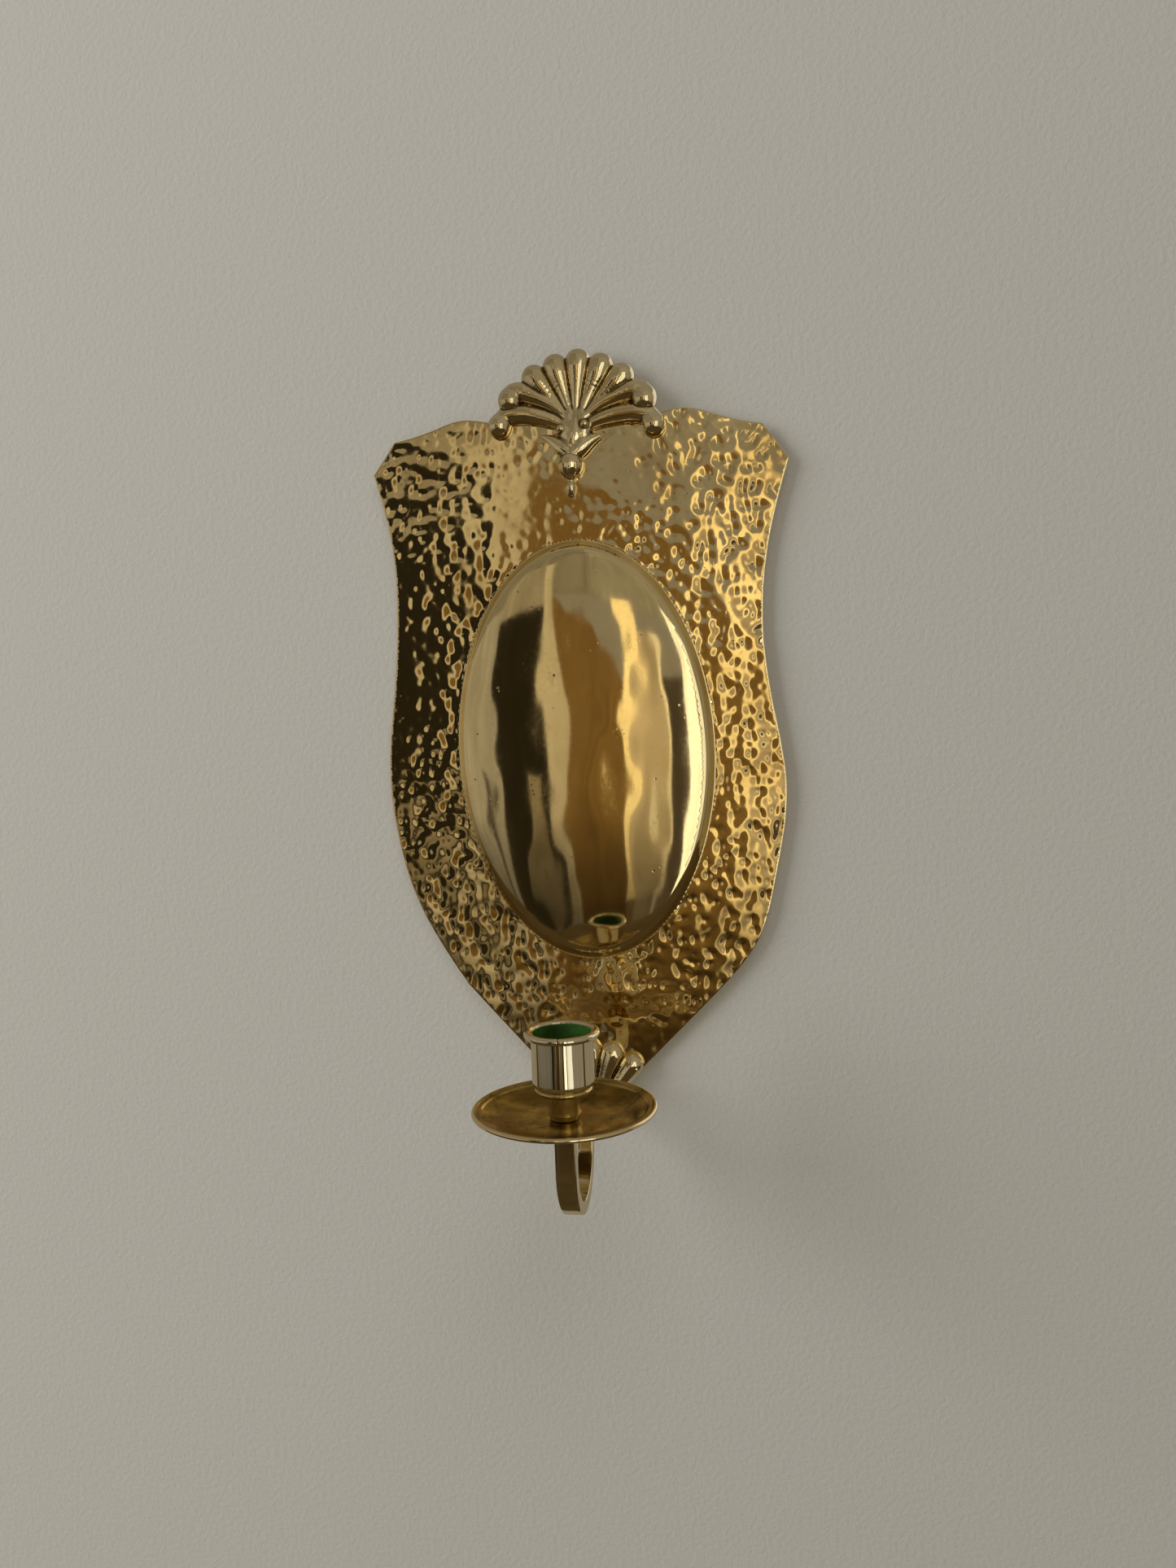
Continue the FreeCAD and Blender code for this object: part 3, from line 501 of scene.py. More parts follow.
def triangulate(border, inner):
    """Triangles over the border loop and the points inside it, and where the border's points are."""
    points = np.concatenate([border, inner])
    count = len(border)
    edges = [(i, (i + 1) % count) for i in range(count)]
    flat, _, faces, origins, *_ = geometry.delaunay_2d_cdt([Vector(p) for p in points], edges, [], 1, 1e-7)
    place = {origin: index for index, group in enumerate(origins) for origin in group}
    ring = [place[i] for i in range(count)]
    return np.array([tuple(p) for p in flat]), np.array([tuple(f) for f in faces]), ring


def inner_points(step, outline, border, clear, wanted):
    """Lattice points inside the border and clear of it by a share of the step.

    wanted picks them by how far outside the oval's foot they are."""
    points = lattice(step, outline.min(0), outline.max(0))
    _, beyond, _ = oval_place(points[:, 0], points[:, 1])
    points = points[wanted(beyond)]
    points = points[inside_loop(points, border)]
    return points[distance_to(points, border) > clear * step]


def facing(corners, faces, forward):
    """Wind every triangle so that it faces forwards (-Y) or backwards."""
    a, b, c = (corners[faces[:, k]] for k in range(3))
    normal_y = (b[:, 2] - a[:, 2]) * (c[:, 0] - a[:, 0]) - (b[:, 0] - a[:, 0]) * (c[:, 2] - a[:, 2])
    wrong = (normal_y > 0) == forward
    faces = faces.copy()
    faces[wrong] = faces[wrong][:, ::-1]
    return faces


def plate_mesh():
    """The plate's closed mesh: front and back sheets joined by a bevelled edge."""
    outline = resample(plate_outline(), STEP_FRONT)
    border = outline - outward_normals(outline) * PLATE_BEVEL

    rings = [ring_points(offset, FRONT_RING_STEP) for offset in FRONT_RINGS]
    fine = inner_points(STEP_FRONT, outline, border, 0.55, lambda beyond: beyond > FRONT_CLEAR[1])
    broad = inner_points(STEP_OVAL, outline, border, 0.55, lambda beyond: beyond < FRONT_CLEAR[0])
    front, front_faces, front_ring = triangulate(border, np.concatenate(rings + [fine, broad]))

    rings = [ring_points(offset, BACK_RING_STEP) for offset in BACK_RINGS]
    plain = inner_points(STEP_BACK, outline, border, 0.5,
                         lambda beyond: (beyond > BACK_CLEAR[1]) | (beyond < BACK_CLEAR[0]))
    back, back_faces, back_ring = triangulate(border, np.concatenate(rings + [plain]))

    def lift(points, height):
        return np.stack([points[:, 0], -height(points[:, 0], points[:, 1]), points[:, 1]], 1)

    top, under = lift(front, front_height), lift(back, back_height)
    edge_front, edge_back = top[front_ring], under[back_ring]
    for ring, shift in ((edge_front, PLATE_BEVEL), (edge_back, -PLATE_BEVEL)):
        ring[:, 0], ring[:, 2] = outline[:, 0], outline[:, 1]
        ring[:, 1] += shift
    points = np.concatenate([top, under, edge_front, edge_back])
    under_start = len(top)
    near_start = under_start + len(under)
    far_start = near_start + len(outline)

    faces = facing(top, front_faces, True).tolist()
    faces += (facing(under, back_faces, False) + under_start).tolist()
    flip = signed_area(outline) > 0
    for i in range(len(outline)):
        k = (i + 1) % len(outline)
        rows = ((front_ring[i], front_ring[k]), (near_start + i, near_start + k),
                (far_start + i, far_start + k), (under_start + back_ring[i], under_start + back_ring[k]))
        for (a, b), (c, d) in zip(rows, rows[1:]):
            band = (a, b, d, c)
            faces.append(band[::-1] if flip else band)
    return points, faces


points, faces = plate_mesh()
hammered_plate = mesh_piece("hammered_plate", points, faces, HAMMERED, "back_plate")
share, _, _ = oval_place(points[:, 0], points[:, 2])
point_values(hammered_plate, "oval", 1.0 - smoothstep(0.97, 1.0, share))


# ---------------------------------------------------------------- castings
def smooth_path(path, count):
    """A Catmull-Rom curve through path's rows, as count rows."""
    rows = np.array(path, float)
    rows = np.vstack([2 * rows[0] - rows[1], rows, 2 * rows[-1] - rows[-2]])
    places = np.linspace(0, len(path) - 1, count)
    at = np.minimum(places.astype(int), len(path) - 2)
    t = (places - at)[:, None]
    p0, p1, p2, p3 = rows[at], rows[at + 1], rows[at + 2], rows[at + 3]
    return 0.5 * (2 * p1 + (p2 - p0) * t + (2 * p0 - 5 * p1 + 4 * p2 - p3) * t ** 2
                  + (3 * p1 - p0 - 3 * p2 + p3) * t ** 3)


class Field:
    """Distance to a casting's surface on a grid: x across, z up and f forward of its flat back.

    soft is the width over which a new shape blends into the ones before it."""

    MARGIN = 1.4                 # how far round a shape its distance is worked out
    FAR = 3.0                    # the distance that stands for anywhere further off

    def __init__(self, low, high, step):
        self.low, self.step = np.array(low, float), step
        shape = [int((b - a) / step) + 2 for a, b in zip(low, high)]
        self.value = np.full(shape, self.FAR, np.float32)

    def window(self, low, high):
        """The grid's part between two corners, as slices and as coordinates."""
        start = np.maximum(((np.array(low) - self.low) / self.step).astype(int) - 1, 0)
        stop = np.minimum(((np.array(high) - self.low) / self.step).astype(int) + 2, self.value.shape)
        spans = tuple(slice(a, b) for a, b in zip(start, stop))
        axes = [self.low[k] + self.step * np.arange(start[k], stop[k]) for k in range(3)]
        return spans, np.meshgrid(*axes, indexing="ij")

    def join(self, spans, distance, soft):
        """Add a shape to part of the grid, blended over the width soft."""
        old = self.value[spans]
        if soft > 0:
            share = np.clip(0.5 + 0.5 * (distance - old) / soft, 0.0, 1.0)
            new = distance * (1 - share) + old * share - soft * share * (1 - share)
        else:
            new = np.minimum(old, distance)
        self.value[spans] = new

    def limb(self, path, soft=0.25, samples=14):
        """A tapering round limb along path, rows of (x, z, f, radius)."""
        rows = smooth_path(path, samples) if len(path) > 2 else np.linspace(path[0], path[-1], 5)
        margin = rows[:, 3].max() + self.MARGIN
        spans, (x, z, f) = self.window(rows[:, :3].min(0) - margin, rows[:, :3].max(0) + margin)
        distance = np.full(x.shape, 9.0)
        for here, there in zip(rows, rows[1:]):
            run = there[:3] - here[:3]
            px, pz, pf = x - here[0], z - here[1], f - here[2]
            t = np.clip((px * run[0] + pz * run[1] + pf * run[2]) / max(run @ run, 1e-9), 0, 1)
            gap = np.sqrt((px - t * run[0]) ** 2 + (pz - t * run[1]) ** 2 + (pf - t * run[2]) ** 2)
            distance = np.minimum(distance, gap - (here[3] + t * (there[3] - here[3])))
        self.join(spans, distance, soft)

    def ball(self, x0, z0, f0, radius, soft=0.1):
        centre, reach = np.array((x0, z0, f0)), radius + self.MARGIN
        spans, (x, z, f) = self.window(centre - reach, centre + reach)
        self.join(spans, np.sqrt((x - x0) ** 2 + (z - z0) ** 2 + (f - f0) ** 2) - radius, soft)

    def block(self, centre, half, rounding, soft=0.6):
        """A box with rounded edges."""
        centre, half = np.array(centre), np.array(half)
        spans, grid = self.window(centre - half - self.MARGIN, centre + half + self.MARGIN)
        gaps = [np.abs(axis - c) - h + rounding for axis, c, h in zip(grid, centre, half)]
        beyond = np.sqrt(sum(np.maximum(g, 0) ** 2 for g in gaps))
        inner = np.minimum(np.maximum(np.maximum(gaps[0], gaps[1]), gaps[2]), 0)
        self.join(spans, beyond + inner - rounding, soft)

    def cut_back(self):
        """Nothing stands behind the flat back."""
        f = self.low[2] + self.step * np.arange(self.value.shape[2])
        self.value = np.maximum(self.value, -f[None, None, :])

    def surface(self):
        """A quad mesh of the zero surface, one point in each cell that it crosses."""
        field = self.value
        inside = field < 0
        size = np.array(field.shape) - 1
        count = np.zeros(size, np.int8)
        for i, j, k in product((0, 1), repeat=3):
            count += inside[i:size[0] + i, j:size[1] + j, k:size[2] + k]
        active = (count > 0) & (count < 8)
        cells = np.argwhere(active)
        index = np.full(size, -1)
        index[active] = np.arange(len(cells))
        total, hits = np.zeros((len(cells), 3)), np.zeros(len(cells))
        for axis in range(3):
            unit = np.eye(3, dtype=int)[axis]
            others = [k for k in range(3) if k != axis]
            for corner in product((0, 1), repeat=2):
                start = np.zeros(3, int)
                start[others] = corner
                near, far = cells + start, cells + start + unit
                fa, fb = field[tuple(near.T)], field[tuple(far.T)]
                crossed = (fa < 0) != (fb < 0)
                share = np.where(crossed, fa / np.where(fa == fb, 1, fa - fb), 0)
                total[crossed] += (near + share[:, None] * unit)[crossed]
                hits[crossed] += 1
        points = self.low + self.step * total / hits[:, None]
        quads = []
        for axis in range(3):
            unit = np.eye(3, dtype=int)[axis]
            u, v = np.eye(3, dtype=int)[(axis + 1) % 3], np.eye(3, dtype=int)[(axis + 2) % 3]
            spans = tuple(slice(0, s) if k == axis else slice(1, s) for k, s in enumerate(size))
            here = inside[spans]
            moved = tuple(slice(s.start + unit[k], s.stop + unit[k]) for k, s in enumerate(spans))
            flips = np.argwhere(here != inside[moved]) + np.array([s.start for s in spans])
            ring = [index[tuple((flips - shift).T)] for shift in (u + v, v, 0 * u, u)]
            quad = np.stack(ring, 1)
            outwards = inside[tuple(flips.T)]
            quad[~outwards] = quad[~outwards][:, ::-1]
            quads.append(quad)
        return points, np.concatenate(quads)


def neighbour_mean(points, faces):
    """Each point's mean neighbour along the quads' edges."""
    a, b = faces.ravel(), np.roll(faces, -1, 1).ravel()
    ends, others = np.concatenate([a, b]), np.concatenate([b, a])
    number = np.bincount(ends, minlength=len(points))
    return np.stack([np.bincount(ends, points[others, k], len(points)) / number for k in range(3)], 1)


def relax(points, faces, rounds, keep_flat):
    """Taubin smoothing, which takes out the grid's steps and keeps the size."""
    for _ in range(rounds):
        for amount in (0.55, -0.57):
            moved = points + amount * (neighbour_mean(points, faces) - points)
            moved[keep_flat, 2] = points[keep_flat, 2]
            points = moved
    return points


BLUR_ROUNDS = 26
FULL_RECESS = 0.5                # range of depths over which a recess darkens


def cast_piece(name, field, hub, lean, node_name):
    """The casting's mesh in place on the plate, with its recesses marked for the tarnish.

    A point is in a recess where the blurred surface stands outside the true one."""
    field.cut_back()
    points, faces = field.surface()
    flat = points[:, 2] < 0.6 * field.step
    points = relax(points, faces, 3, flat)
    points[:, 2] = np.maximum(points[:, 2], 0.0)
    blurred = points
    for _ in range(BLUR_ROUNDS):
        blurred = blurred + 0.6 * (neighbour_mean(blurred, faces) - blurred)
    a, b, c = points[faces[:, 0]], points[faces[:, 1]], points[faces[:, 2]]
    face_normal = np.cross(b - a, c - a)
    normal = np.stack([np.bincount(faces.ravel(), np.repeat(face_normal[:, k], 4), len(points))
                       for k in range(3)], 1)
    normal /= np.maximum(np.linalg.norm(normal, axis=1), 1e-9)[:, None]
    hollow = ((blurred - points) * normal).sum(1)
    cosine, sine = math.cos(lean), math.sin(lean)
    x = hub[0] + points[:, 0] * cosine + points[:, 1] * sine
    z = hub[1] + points[:, 1] * cosine - points[:, 0] * sine
    placed = np.stack([x, -PLATE_FRONT - points[:, 2], z], 1)
    piece = mesh_piece(name, placed, faces.tolist(), CAST, node_name)
    point_values(piece, "cavity", np.clip(0.5 + hollow / FULL_RECESS, 0, 1) * 2 - 1)


# Castings: rows of (x, z, forward, radius) along a limb, from the casting's hub.
CREST_PETALS = ((0.0, 29.2), (20.4, 29.0), (40.8, 30.0))         # (angle from upright, length)
PETAL_PROFILE = ((0.10, 2.0, 1.5), (0.35, 2.4, 1.7), (0.58, 3.2, 1.4), (0.78, 4.6, 1.0), (0.90, 5.5, 0.7),
                 (1.0, 5.75, 0.4))                               # (share of the length, radius, forward)
# Each scroll is a limb and the ball at its end.
CREST_SCROLLS = (
    (((2, 3, 1.6, 2.3), (9.5, 9.4, 1.6, 3.1), (17, 13.4, 1.3, 3.9), (23.4, 15.7, 1.0, 4.7),
      (28, 15.8, 0.8, 4.9), (30.6, 13.8, 0.8, 4.9)), (30.3, 12.2, 1.9, 5.3)),
    (((2.5, 0, 1.6, 2.3), (10, 3.4, 1.5, 3.2), (18, 5.6, 1.3, 3.9), (25.5, 6.7, 1.0, 4.3),
      (31.4, 5.8, 0.8, 4.5), (34.6, 2.9, 0.8, 4.4)), (34.9, 1.2, 1.7, 5.3)),
)
CALYX = -1.7                     # the calyx and bud hang a little towards -X
CALYX_BLADE = ((0.5, -11.4, 2.2, 3.6), (4.2, -9.0, 2.2, 3.4), (8.6, -5.6, 2.1, 2.3), (12.9, -3.4, 1.9, 0.8))
CALYX_WEB = ((0, 0, 1.0, 3.2), (4.5, -3.0, 0.7, 2.6), (9.0, -3.6, 0.4, 1.2))
BUD = (-16.0, 1.6, 5.8)          # (z, forward, radius)
BUD_RIB_TURNS = (-66, -33, 0, 33, 66)
BUD_RIB_STEPS = (0.0, 0.4, 0.8, 1.15)
BUD_RIB_RADIUS = 0.62


def petal_path(angle, length, profile):
    turn = math.radians(angle)
    return [(math.sin(turn) * length * t, math.cos(turn) * length * t, forward, radius)
            for t, radius, forward in profile]


def mirrored(rows, side, shift=0.0):
    """A limb's rows on one side of the upright line at x = shift."""
    return [(shift + side * x, *rest) for x, *rest in rows]


def crest_field():
    field = Field((-43, -32.5, -1.2), (43, 38.0, 9.0), 0.42)
    for angle, length in CREST_PETALS:
        for side in ((1,) if angle == 0 else (-1, 1)):
            field.limb(petal_path(side * angle, length, PETAL_PROFILE))
    for side in (-1, 1):
        for limb, (x, z, forward, radius) in CREST_SCROLLS:
            field.limb(mirrored(limb, side))
            field.ball(side * x, z, forward, radius, soft=1.0)
        field.limb(mirrored(CALYX_BLADE, side, CALYX))
        body_side = [(side * 2.6, 5.5, 1.0, 3.2), (side * 3.4, -1.0, 1.1, 4.0),
                     (0.5 * CALYX + side * 2.2, -6.5, 1.0, 3.7), (CALYX + side * 0.8, -12.0, 1.0, 3.4)]
        field.limb(body_side, soft=1.8)
        field.limb([(0, -3.0, 1.2, 3.2), (CALYX + side * 10.6, -4.2, 1.1, 1.0)], soft=1.2)
        field.limb(mirrored(CALYX_WEB, side), soft=0.8)
    body = [(0, 6, 0.8, 3.1), (-0.3, -0.5, 0.8, 4.6), (0.6 * CALYX, -6, 0.8, 4.8), (CALYX, -12.0, 1.0, 3.8)]
    field.limb(body, soft=0.8)
    field.ball(-6.6, -0.6, 3.9, 1.8)
    field.ball(4.4, 1.2, 4.9, 1.9)
    bud_z, bud_forward, bud_radius = BUD
    field.ball(CALYX, *BUD, soft=0.3)
    for turn in BUD_RIB_TURNS:
        side, front = math.sin(math.radians(turn)), math.cos(math.radians(turn))
        field.limb([(CALYX + (bud_radius - 0.4) * side * math.cos(a), bud_z - bud_radius * math.sin(a),
                     bud_forward + (bud_radius - 0.1) * front * math.cos(a), BUD_RIB_RADIUS)
                    for a in BUD_RIB_STEPS], soft=0.1, samples=6)
    field.limb([(CALYX, -20.0, 1.5, 2.8), (CALYX, -22.8, 1.2, 1.7), (CALYX + 0.1, -25.6, 1.2, 2.4),
                (CALYX + 0.2, -28.0, 0.9, 2.0)], soft=0.3)
    return field


cast_piece("crest_casting", crest_field(), CREST_HUB, CREST_LEAN, "crest")

SHELL_PITCH = 18.9
SHELL_LENGTH = 31.5
SHELL_PROFILE = ((0.10, 2.0, 0.5), (0.4, 3.0, 0.8), (0.7, 4.2, 0.7), (0.88, 5.0, 0.5), (1.0, 5.2, 0.3))
RIB_SHARES = (-0.55, 0.0, 0.55)  # of the petal's half width
RIB_RADIUS = 0.62
ROOT_Z = -274.5                  # height of the arm's root


def shell_field():
    field = Field((-26.5, -6, -1.2), (26.5, 38.5, 9.0), 0.40)
    for step in (-2, -1, 0, 1, 2):
        angle = step * SHELL_PITCH
        field.limb(petal_path(angle, SHELL_LENGTH, SHELL_PROFILE), soft=0.15)
        turn = math.radians(angle)
        for rib in RIB_SHARES:
            path = []
            for t, radius, forward in SHELL_PROFILE[1:]:
                aside = rib * radius
                top = forward + math.sqrt(radius ** 2 - aside ** 2)
                x = math.sin(turn) * SHELL_LENGTH * t + math.cos(turn) * aside
                z = math.cos(turn) * SHELL_LENGTH * t - math.sin(turn) * aside
                path.append((x, z, top - 0.25, RIB_RADIUS))
            field.limb(path, soft=0.35, samples=12)
    arm_low, arm_high = node_box("arm")
    centre_x = (arm_low[0] + arm_high[0]) / 2 - SHELL_HUB[0]
    field.block((centre_x, ROOT_Z - SHELL_HUB[1], 2.7), (4.3, 3.75, 3.7), 0.9)
    return field


cast_piece("shell_casting", shell_field(), SHELL_HUB, 0.0, "shell_boss")


# ---------------------------------------------------------------- turned pieces
cup_low, cup_high = node_box("candle_cup")
CUP_X, CUP_Y = (cup_low[0] + cup_high[0]) / 2, (cup_low[1] + cup_high[1]) / 2


def round_node(name):
    """Radius, lowest and highest z of a turned CAD node."""
    low, high = node_box(name)
    return (high[0] - low[0]) / 2, low[2], high[2]


def about_cup(points):
    """Each point's x and y from the cup's axis, its distance from the axis and its angle about it."""
    dx, dy = points[:, 0] - CUP_X, points[:, 1] - CUP_Y
    return dx, dy, np.hypot(dx, dy), np.arctan2(dy, dx)


def bands(rows, number, start=0, closed=False, reverse=False):
    """Quads between successive rings of number points each, from the point start onwards."""
    faces = []
    for row in range(rows if closed else rows - 1):
        here, there = start + row * number, start + (row + 1) % rows * number
        for k in range(number):
            m = (k + 1) % number
            corners = (here + k, here + m, there + m, there + k)
            faces.append((corners[0], corners[3], corners[2], corners[1]) if reverse else corners)
    return faces


def tube(rows, number, start=0, reverse=False):
    """Bands, with one face over each end."""
    faces = bands(rows, number, start, reverse=reverse)
    for first, turned in ((start, not reverse), (start + (rows - 1) * number, reverse)):
        ring = tuple(range(first, first + number))
        faces.append(ring[::-1] if turned else ring)
    return faces


def rounded(corners, spacing=0.9):
    """A profile of (radius, z) through corners of (radius, z, rounding), its corners made into arcs."""
    places = [np.array(c[:2], float) for c in corners]
    result = []
    for index, (corner, item) in enumerate(zip(places, corners)):
        before, after = places[index - 1], places[(index + 1) % len(places)]
        size = item[2]
        if size <= 0 or index in (0, len(places) - 1):
            result.append(corner)
            continue
        into, out = before - corner, after - corner
        into, out = into / np.linalg.norm(into), out / np.linalg.norm(out)
        half = 0.5 * math.acos(np.clip(into @ out, -1, 1))
        reach = size / math.tan(half)
        middle = (into + out) / np.linalg.norm(into + out) * size / math.sin(half)
        centre = corner + middle
        start, end = corner + into * reach - centre, corner + out * reach - centre
        first, last = math.atan2(start[1], start[0]), math.atan2(end[1], end[0])
        turn = (last - first + math.pi) % (2 * math.pi) - math.pi
        for share in np.linspace(0, 1, max(4, int(abs(turn) / 0.2)) + 1):
            angle = first + turn * share
            result.append(centre + size * np.array((math.cos(angle), math.sin(angle))))
    dense = [result[0]]
    for place in result[1:]:
        count = max(1, int(np.linalg.norm(place - dense[-1]) / spacing))
        dense += [dense[-1] + (place - dense[-1]) * k / count for k in range(1, count)] + [place]
    return np.array(dense)


def turned_piece(name, profile, segments, material, node_name, shape=None):
    """A closed profile of (radius, z) turned about the cup's axis. shape may move the points a little."""
    angle = np.arange(segments) * 2 * math.pi / segments
    radius, height = profile[:, 0][:, None], profile[:, 1][:, None]
    x = CUP_X + radius * np.cos(angle)
    y = CUP_Y + radius * np.sin(angle)
    z = np.broadcast_to(height, x.shape)
    points = np.stack([x, y, z], 2).reshape(-1, 3)
    if shape is not None:
        points = shape(points)
    faces = bands(len(profile), segments, closed=True)
    return mesh_piece(name, points, faces, material, node_name, sharp=50)


HOLE = 1.75                      # radius of the hole for the cup's screw
PAN_SEGMENTS = 192
PAN_BEAD = 0.95                  # radius of the wired edge
PAN_SHEET = 0.9
PAN_FLOOR = 20.0                 # radius of the flat floor
PAN_BEND = 40.0                  # radius of the bend round it
PAN_LEDGE = 32.4                 # where the dish turns up to its edge


def pan_piece():
    """The dish: a flat floor, a shallow slope, a small step and a wired edge."""
    radius, under, top = round_node("drip_pan")
    floor = under + PAN_SHEET
    lip = radius - PAN_BEAD
    middle = top - PAN_BEAD
    slope = (middle - PAN_SHEET / 2 - under) / (lip - PAN_FLOOR)
    rise = floor + (PAN_LEDGE - PAN_FLOOR) * slope
    inner = rounded([(HOLE, floor, 0), (PAN_FLOOR, floor, PAN_BEND), (PAN_LEDGE, rise, 0.5),
                     (PAN_LEDGE + 0.6, rise + 0.75, 0.35), (lip - 0.9, middle + 0.40, 0.5),
                     (lip - 0.62, middle + 0.72, 0)])
    outer = rounded([(lip + 0.5, middle - 0.81, 0), (lip - 1.0, middle - PAN_SHEET, 0.8),
                     (PAN_FLOOR, under, PAN_BEND), (HOLE, under, 0)])
    sweep = np.radians(np.linspace(130, -58, 12))
    wire = np.stack([lip + PAN_BEAD * np.cos(sweep), middle + PAN_BEAD * np.sin(sweep)], 1)
    profile = np.concatenate([inner, wire[1:-1], outer])

    def worn(points):
        """Slight unevenness from hand spinning and use, none where the collar and arm seat."""
        dx, dy, away, angle = about_cup(points)
        share = smoothstep(11.0, 34.0, away)
        dip = 0.16 * np.sin(2 * angle + 0.7) + 0.10 * np.sin(3 * angle + 2.1) - 0.26
        dents = 0.07 * noise(dx / 6.5, dy / 6.5, 51) * (1 - smoothstep(28, 32, away)) - 0.07
        moved = points.copy()
        moved[:, 2] += share * (dip + dents) * 0.6
        moved[:, 2] = np.maximum(moved[:, 2], under)
        return moved

    pan = turned_piece("drip_pan_turned", profile, PAN_SEGMENTS, DULL, "drip_pan", worn)
    edge = smoothstep(lip - 0.5, lip + 0.3, np.repeat(profile[:, 0], PAN_SEGMENTS))
    point_values(pan, "rubbed", edge)


def collar_piece():
    radius, bottom, top = round_node("neck_collar")
    profile = rounded([(HOLE, bottom, 0), (radius - 0.9, bottom, 0.9), (radius, bottom + 2.4, 1.4),
                       (radius - 0.35, top - 0.6, 0.8), (radius - 0.6, top, 0.2), (HOLE, top, 0)], 0.6)
    turned_piece("neck_collar_turned", profile, 96, TURNED, "neck_collar")


def disc_piece():
    radius, bottom, top = round_node("base_disc")
    profile = rounded([(HOLE, bottom, 0), (radius - 0.9, bottom, 0.8), (radius, (bottom + top) / 2, 0.7),
                       (radius - 0.5, top - 0.1, 0.4), (radius - 1.0, top, 0.2), (HOLE, top, 0)], 0.5)
    turned_piece("base_disc_turned", profile, 96, TURNED, "base_disc")


CUP_WALL = 0.6


def cup_piece():
    radius, bottom, mouth = round_node("candle_cup")
    bore = radius - CUP_WALL
    profile = rounded([(HOLE, bottom, 0), (radius, bottom, 2.0), (radius, mouth, 0.2), (bore, mouth, 0.2),
                       (bore, bottom + CUP_WALL, 1.4), (HOLE, bottom + CUP_WALL, 0)], 0.7)

    def hand_raised(points):
        """The tube is a little out of round, so its reflections waver."""
        dx, dy, away, angle = about_cup(points)
        drawn = 0.035 * noise(angle * 2.2 + 9, points[:, 2] / 11, 61) + 0.02 * np.sin(7 * angle)
        scale = 1.0 + (drawn - 0.05) / np.maximum(away, 1.0) * smoothstep(8, 11, away)
        moved = points.copy()
        moved[:, 0], moved[:, 1] = CUP_X + dx * scale, CUP_Y + dy * scale
        return moved

    turned_piece("candle_cup_turned", profile, 180, POLISHED, "candle_cup", hand_raised)


RING_JOINT = math.radians(-85.8)  # where the wire's ends meet, and how far apart they are
RING_GAP = math.radians(2.2)
RING_STEPS = 221
RING_SIDES = 24


def ring_piece():
    """Half-round wire bent about the mouth, its two ends butted and slightly rounded."""
    outer, bottom, top = round_node("rim_ring")
    wire = (top - bottom) / 2
    middle = (bottom + top) / 2
    circle = outer - wire
    core = round_node("candle_cup")[0] - 0.02
    around = np.linspace(RING_JOINT + RING_GAP / 2, RING_JOINT + 2 * math.pi - RING_GAP / 2, RING_STEPS)
    section = np.linspace(0, 2 * math.pi, RING_SIDES + 1)[:-1]
    points = []
    for index, angle in enumerate(around):
        from_end = min(index, RING_STEPS - 1 - index)
        size = wire * (0.90 if from_end == 0 else 0.975 if from_end == 1 else 1.0)
        for turn in section:
            radius = max(core, circle + size * math.cos(turn))
            points.append((CUP_X + radius * math.cos(angle), CUP_Y + radius * math.sin(angle),
                           middle + size * math.sin(turn)))
    faces = tube(RING_STEPS, RING_SIDES, reverse=True)
    mesh_piece("rim_ring_wire", points, faces, POLISHED, "rim_ring", sharp=60)


pan_piece()
collar_piece()
disc_piece()
cup_piece()
ring_piece()


# ---------------------------------------------------------------- arm
# Places along the arm are (y, z).
BAR_HALF = 2.65                  # half the bar's thickness
BAR_EDGE = 0.42                  # rounding of its edges
ROOT_HALF = 3.2                  # half its width at the plate
STUD_SIDES = 24
STUD = ((-11.9, 2.0), (-1.2, 2.0), (-0.65, 1.9), (-0.4, 1.5))    # (y, radius)
BEND_CENTRE = (-62.25, -280.4)
BEND_RADIUS = 22.65
ROOT_RADIUS = 14.0
ROOT_Y = -11.3


def arm_path():
    """Centre line of the bar as rows of (y, z, heading): down, round the U, over and into the shell."""
    _, high = node_box("arm")
    front_y = BEND_CENTRE[0] - BEND_RADIUS
    rows = [(front_y, z, -math.pi / 2) for z in np.linspace(high[2], BEND_CENTRE[1], 16)[:-1]]
    drop = BEND_CENTRE[1] - (ROOT_Z - ROOT_RADIUS)
    meet = math.asin(-drop / (BEND_RADIUS + ROOT_RADIUS))
    for angle in np.linspace(math.pi, 2 * math.pi + meet, 72):
        rows.append((BEND_CENTRE[0] + BEND_RADIUS * math.cos(angle),
                     BEND_CENTRE[1] + BEND_RADIUS * math.sin(angle), angle + math.pi / 2))
    span = (BEND_RADIUS + ROOT_RADIUS) * math.cos(meet)
    centre = (BEND_CENTRE[0] + span, ROOT_Z - ROOT_RADIUS)
    for angle in np.linspace(math.pi + meet, math.pi / 2, 26)[1:]:
        rows.append((centre[0] + ROOT_RADIUS * math.cos(angle), centre[1] + ROOT_RADIUS * math.sin(angle),
                     angle - math.pi / 2))
    rows += [(y, ROOT_Z, 0.0) for y in np.linspace(centre[0], ROOT_Y + 0.05, 8)[1:]]
    return rows


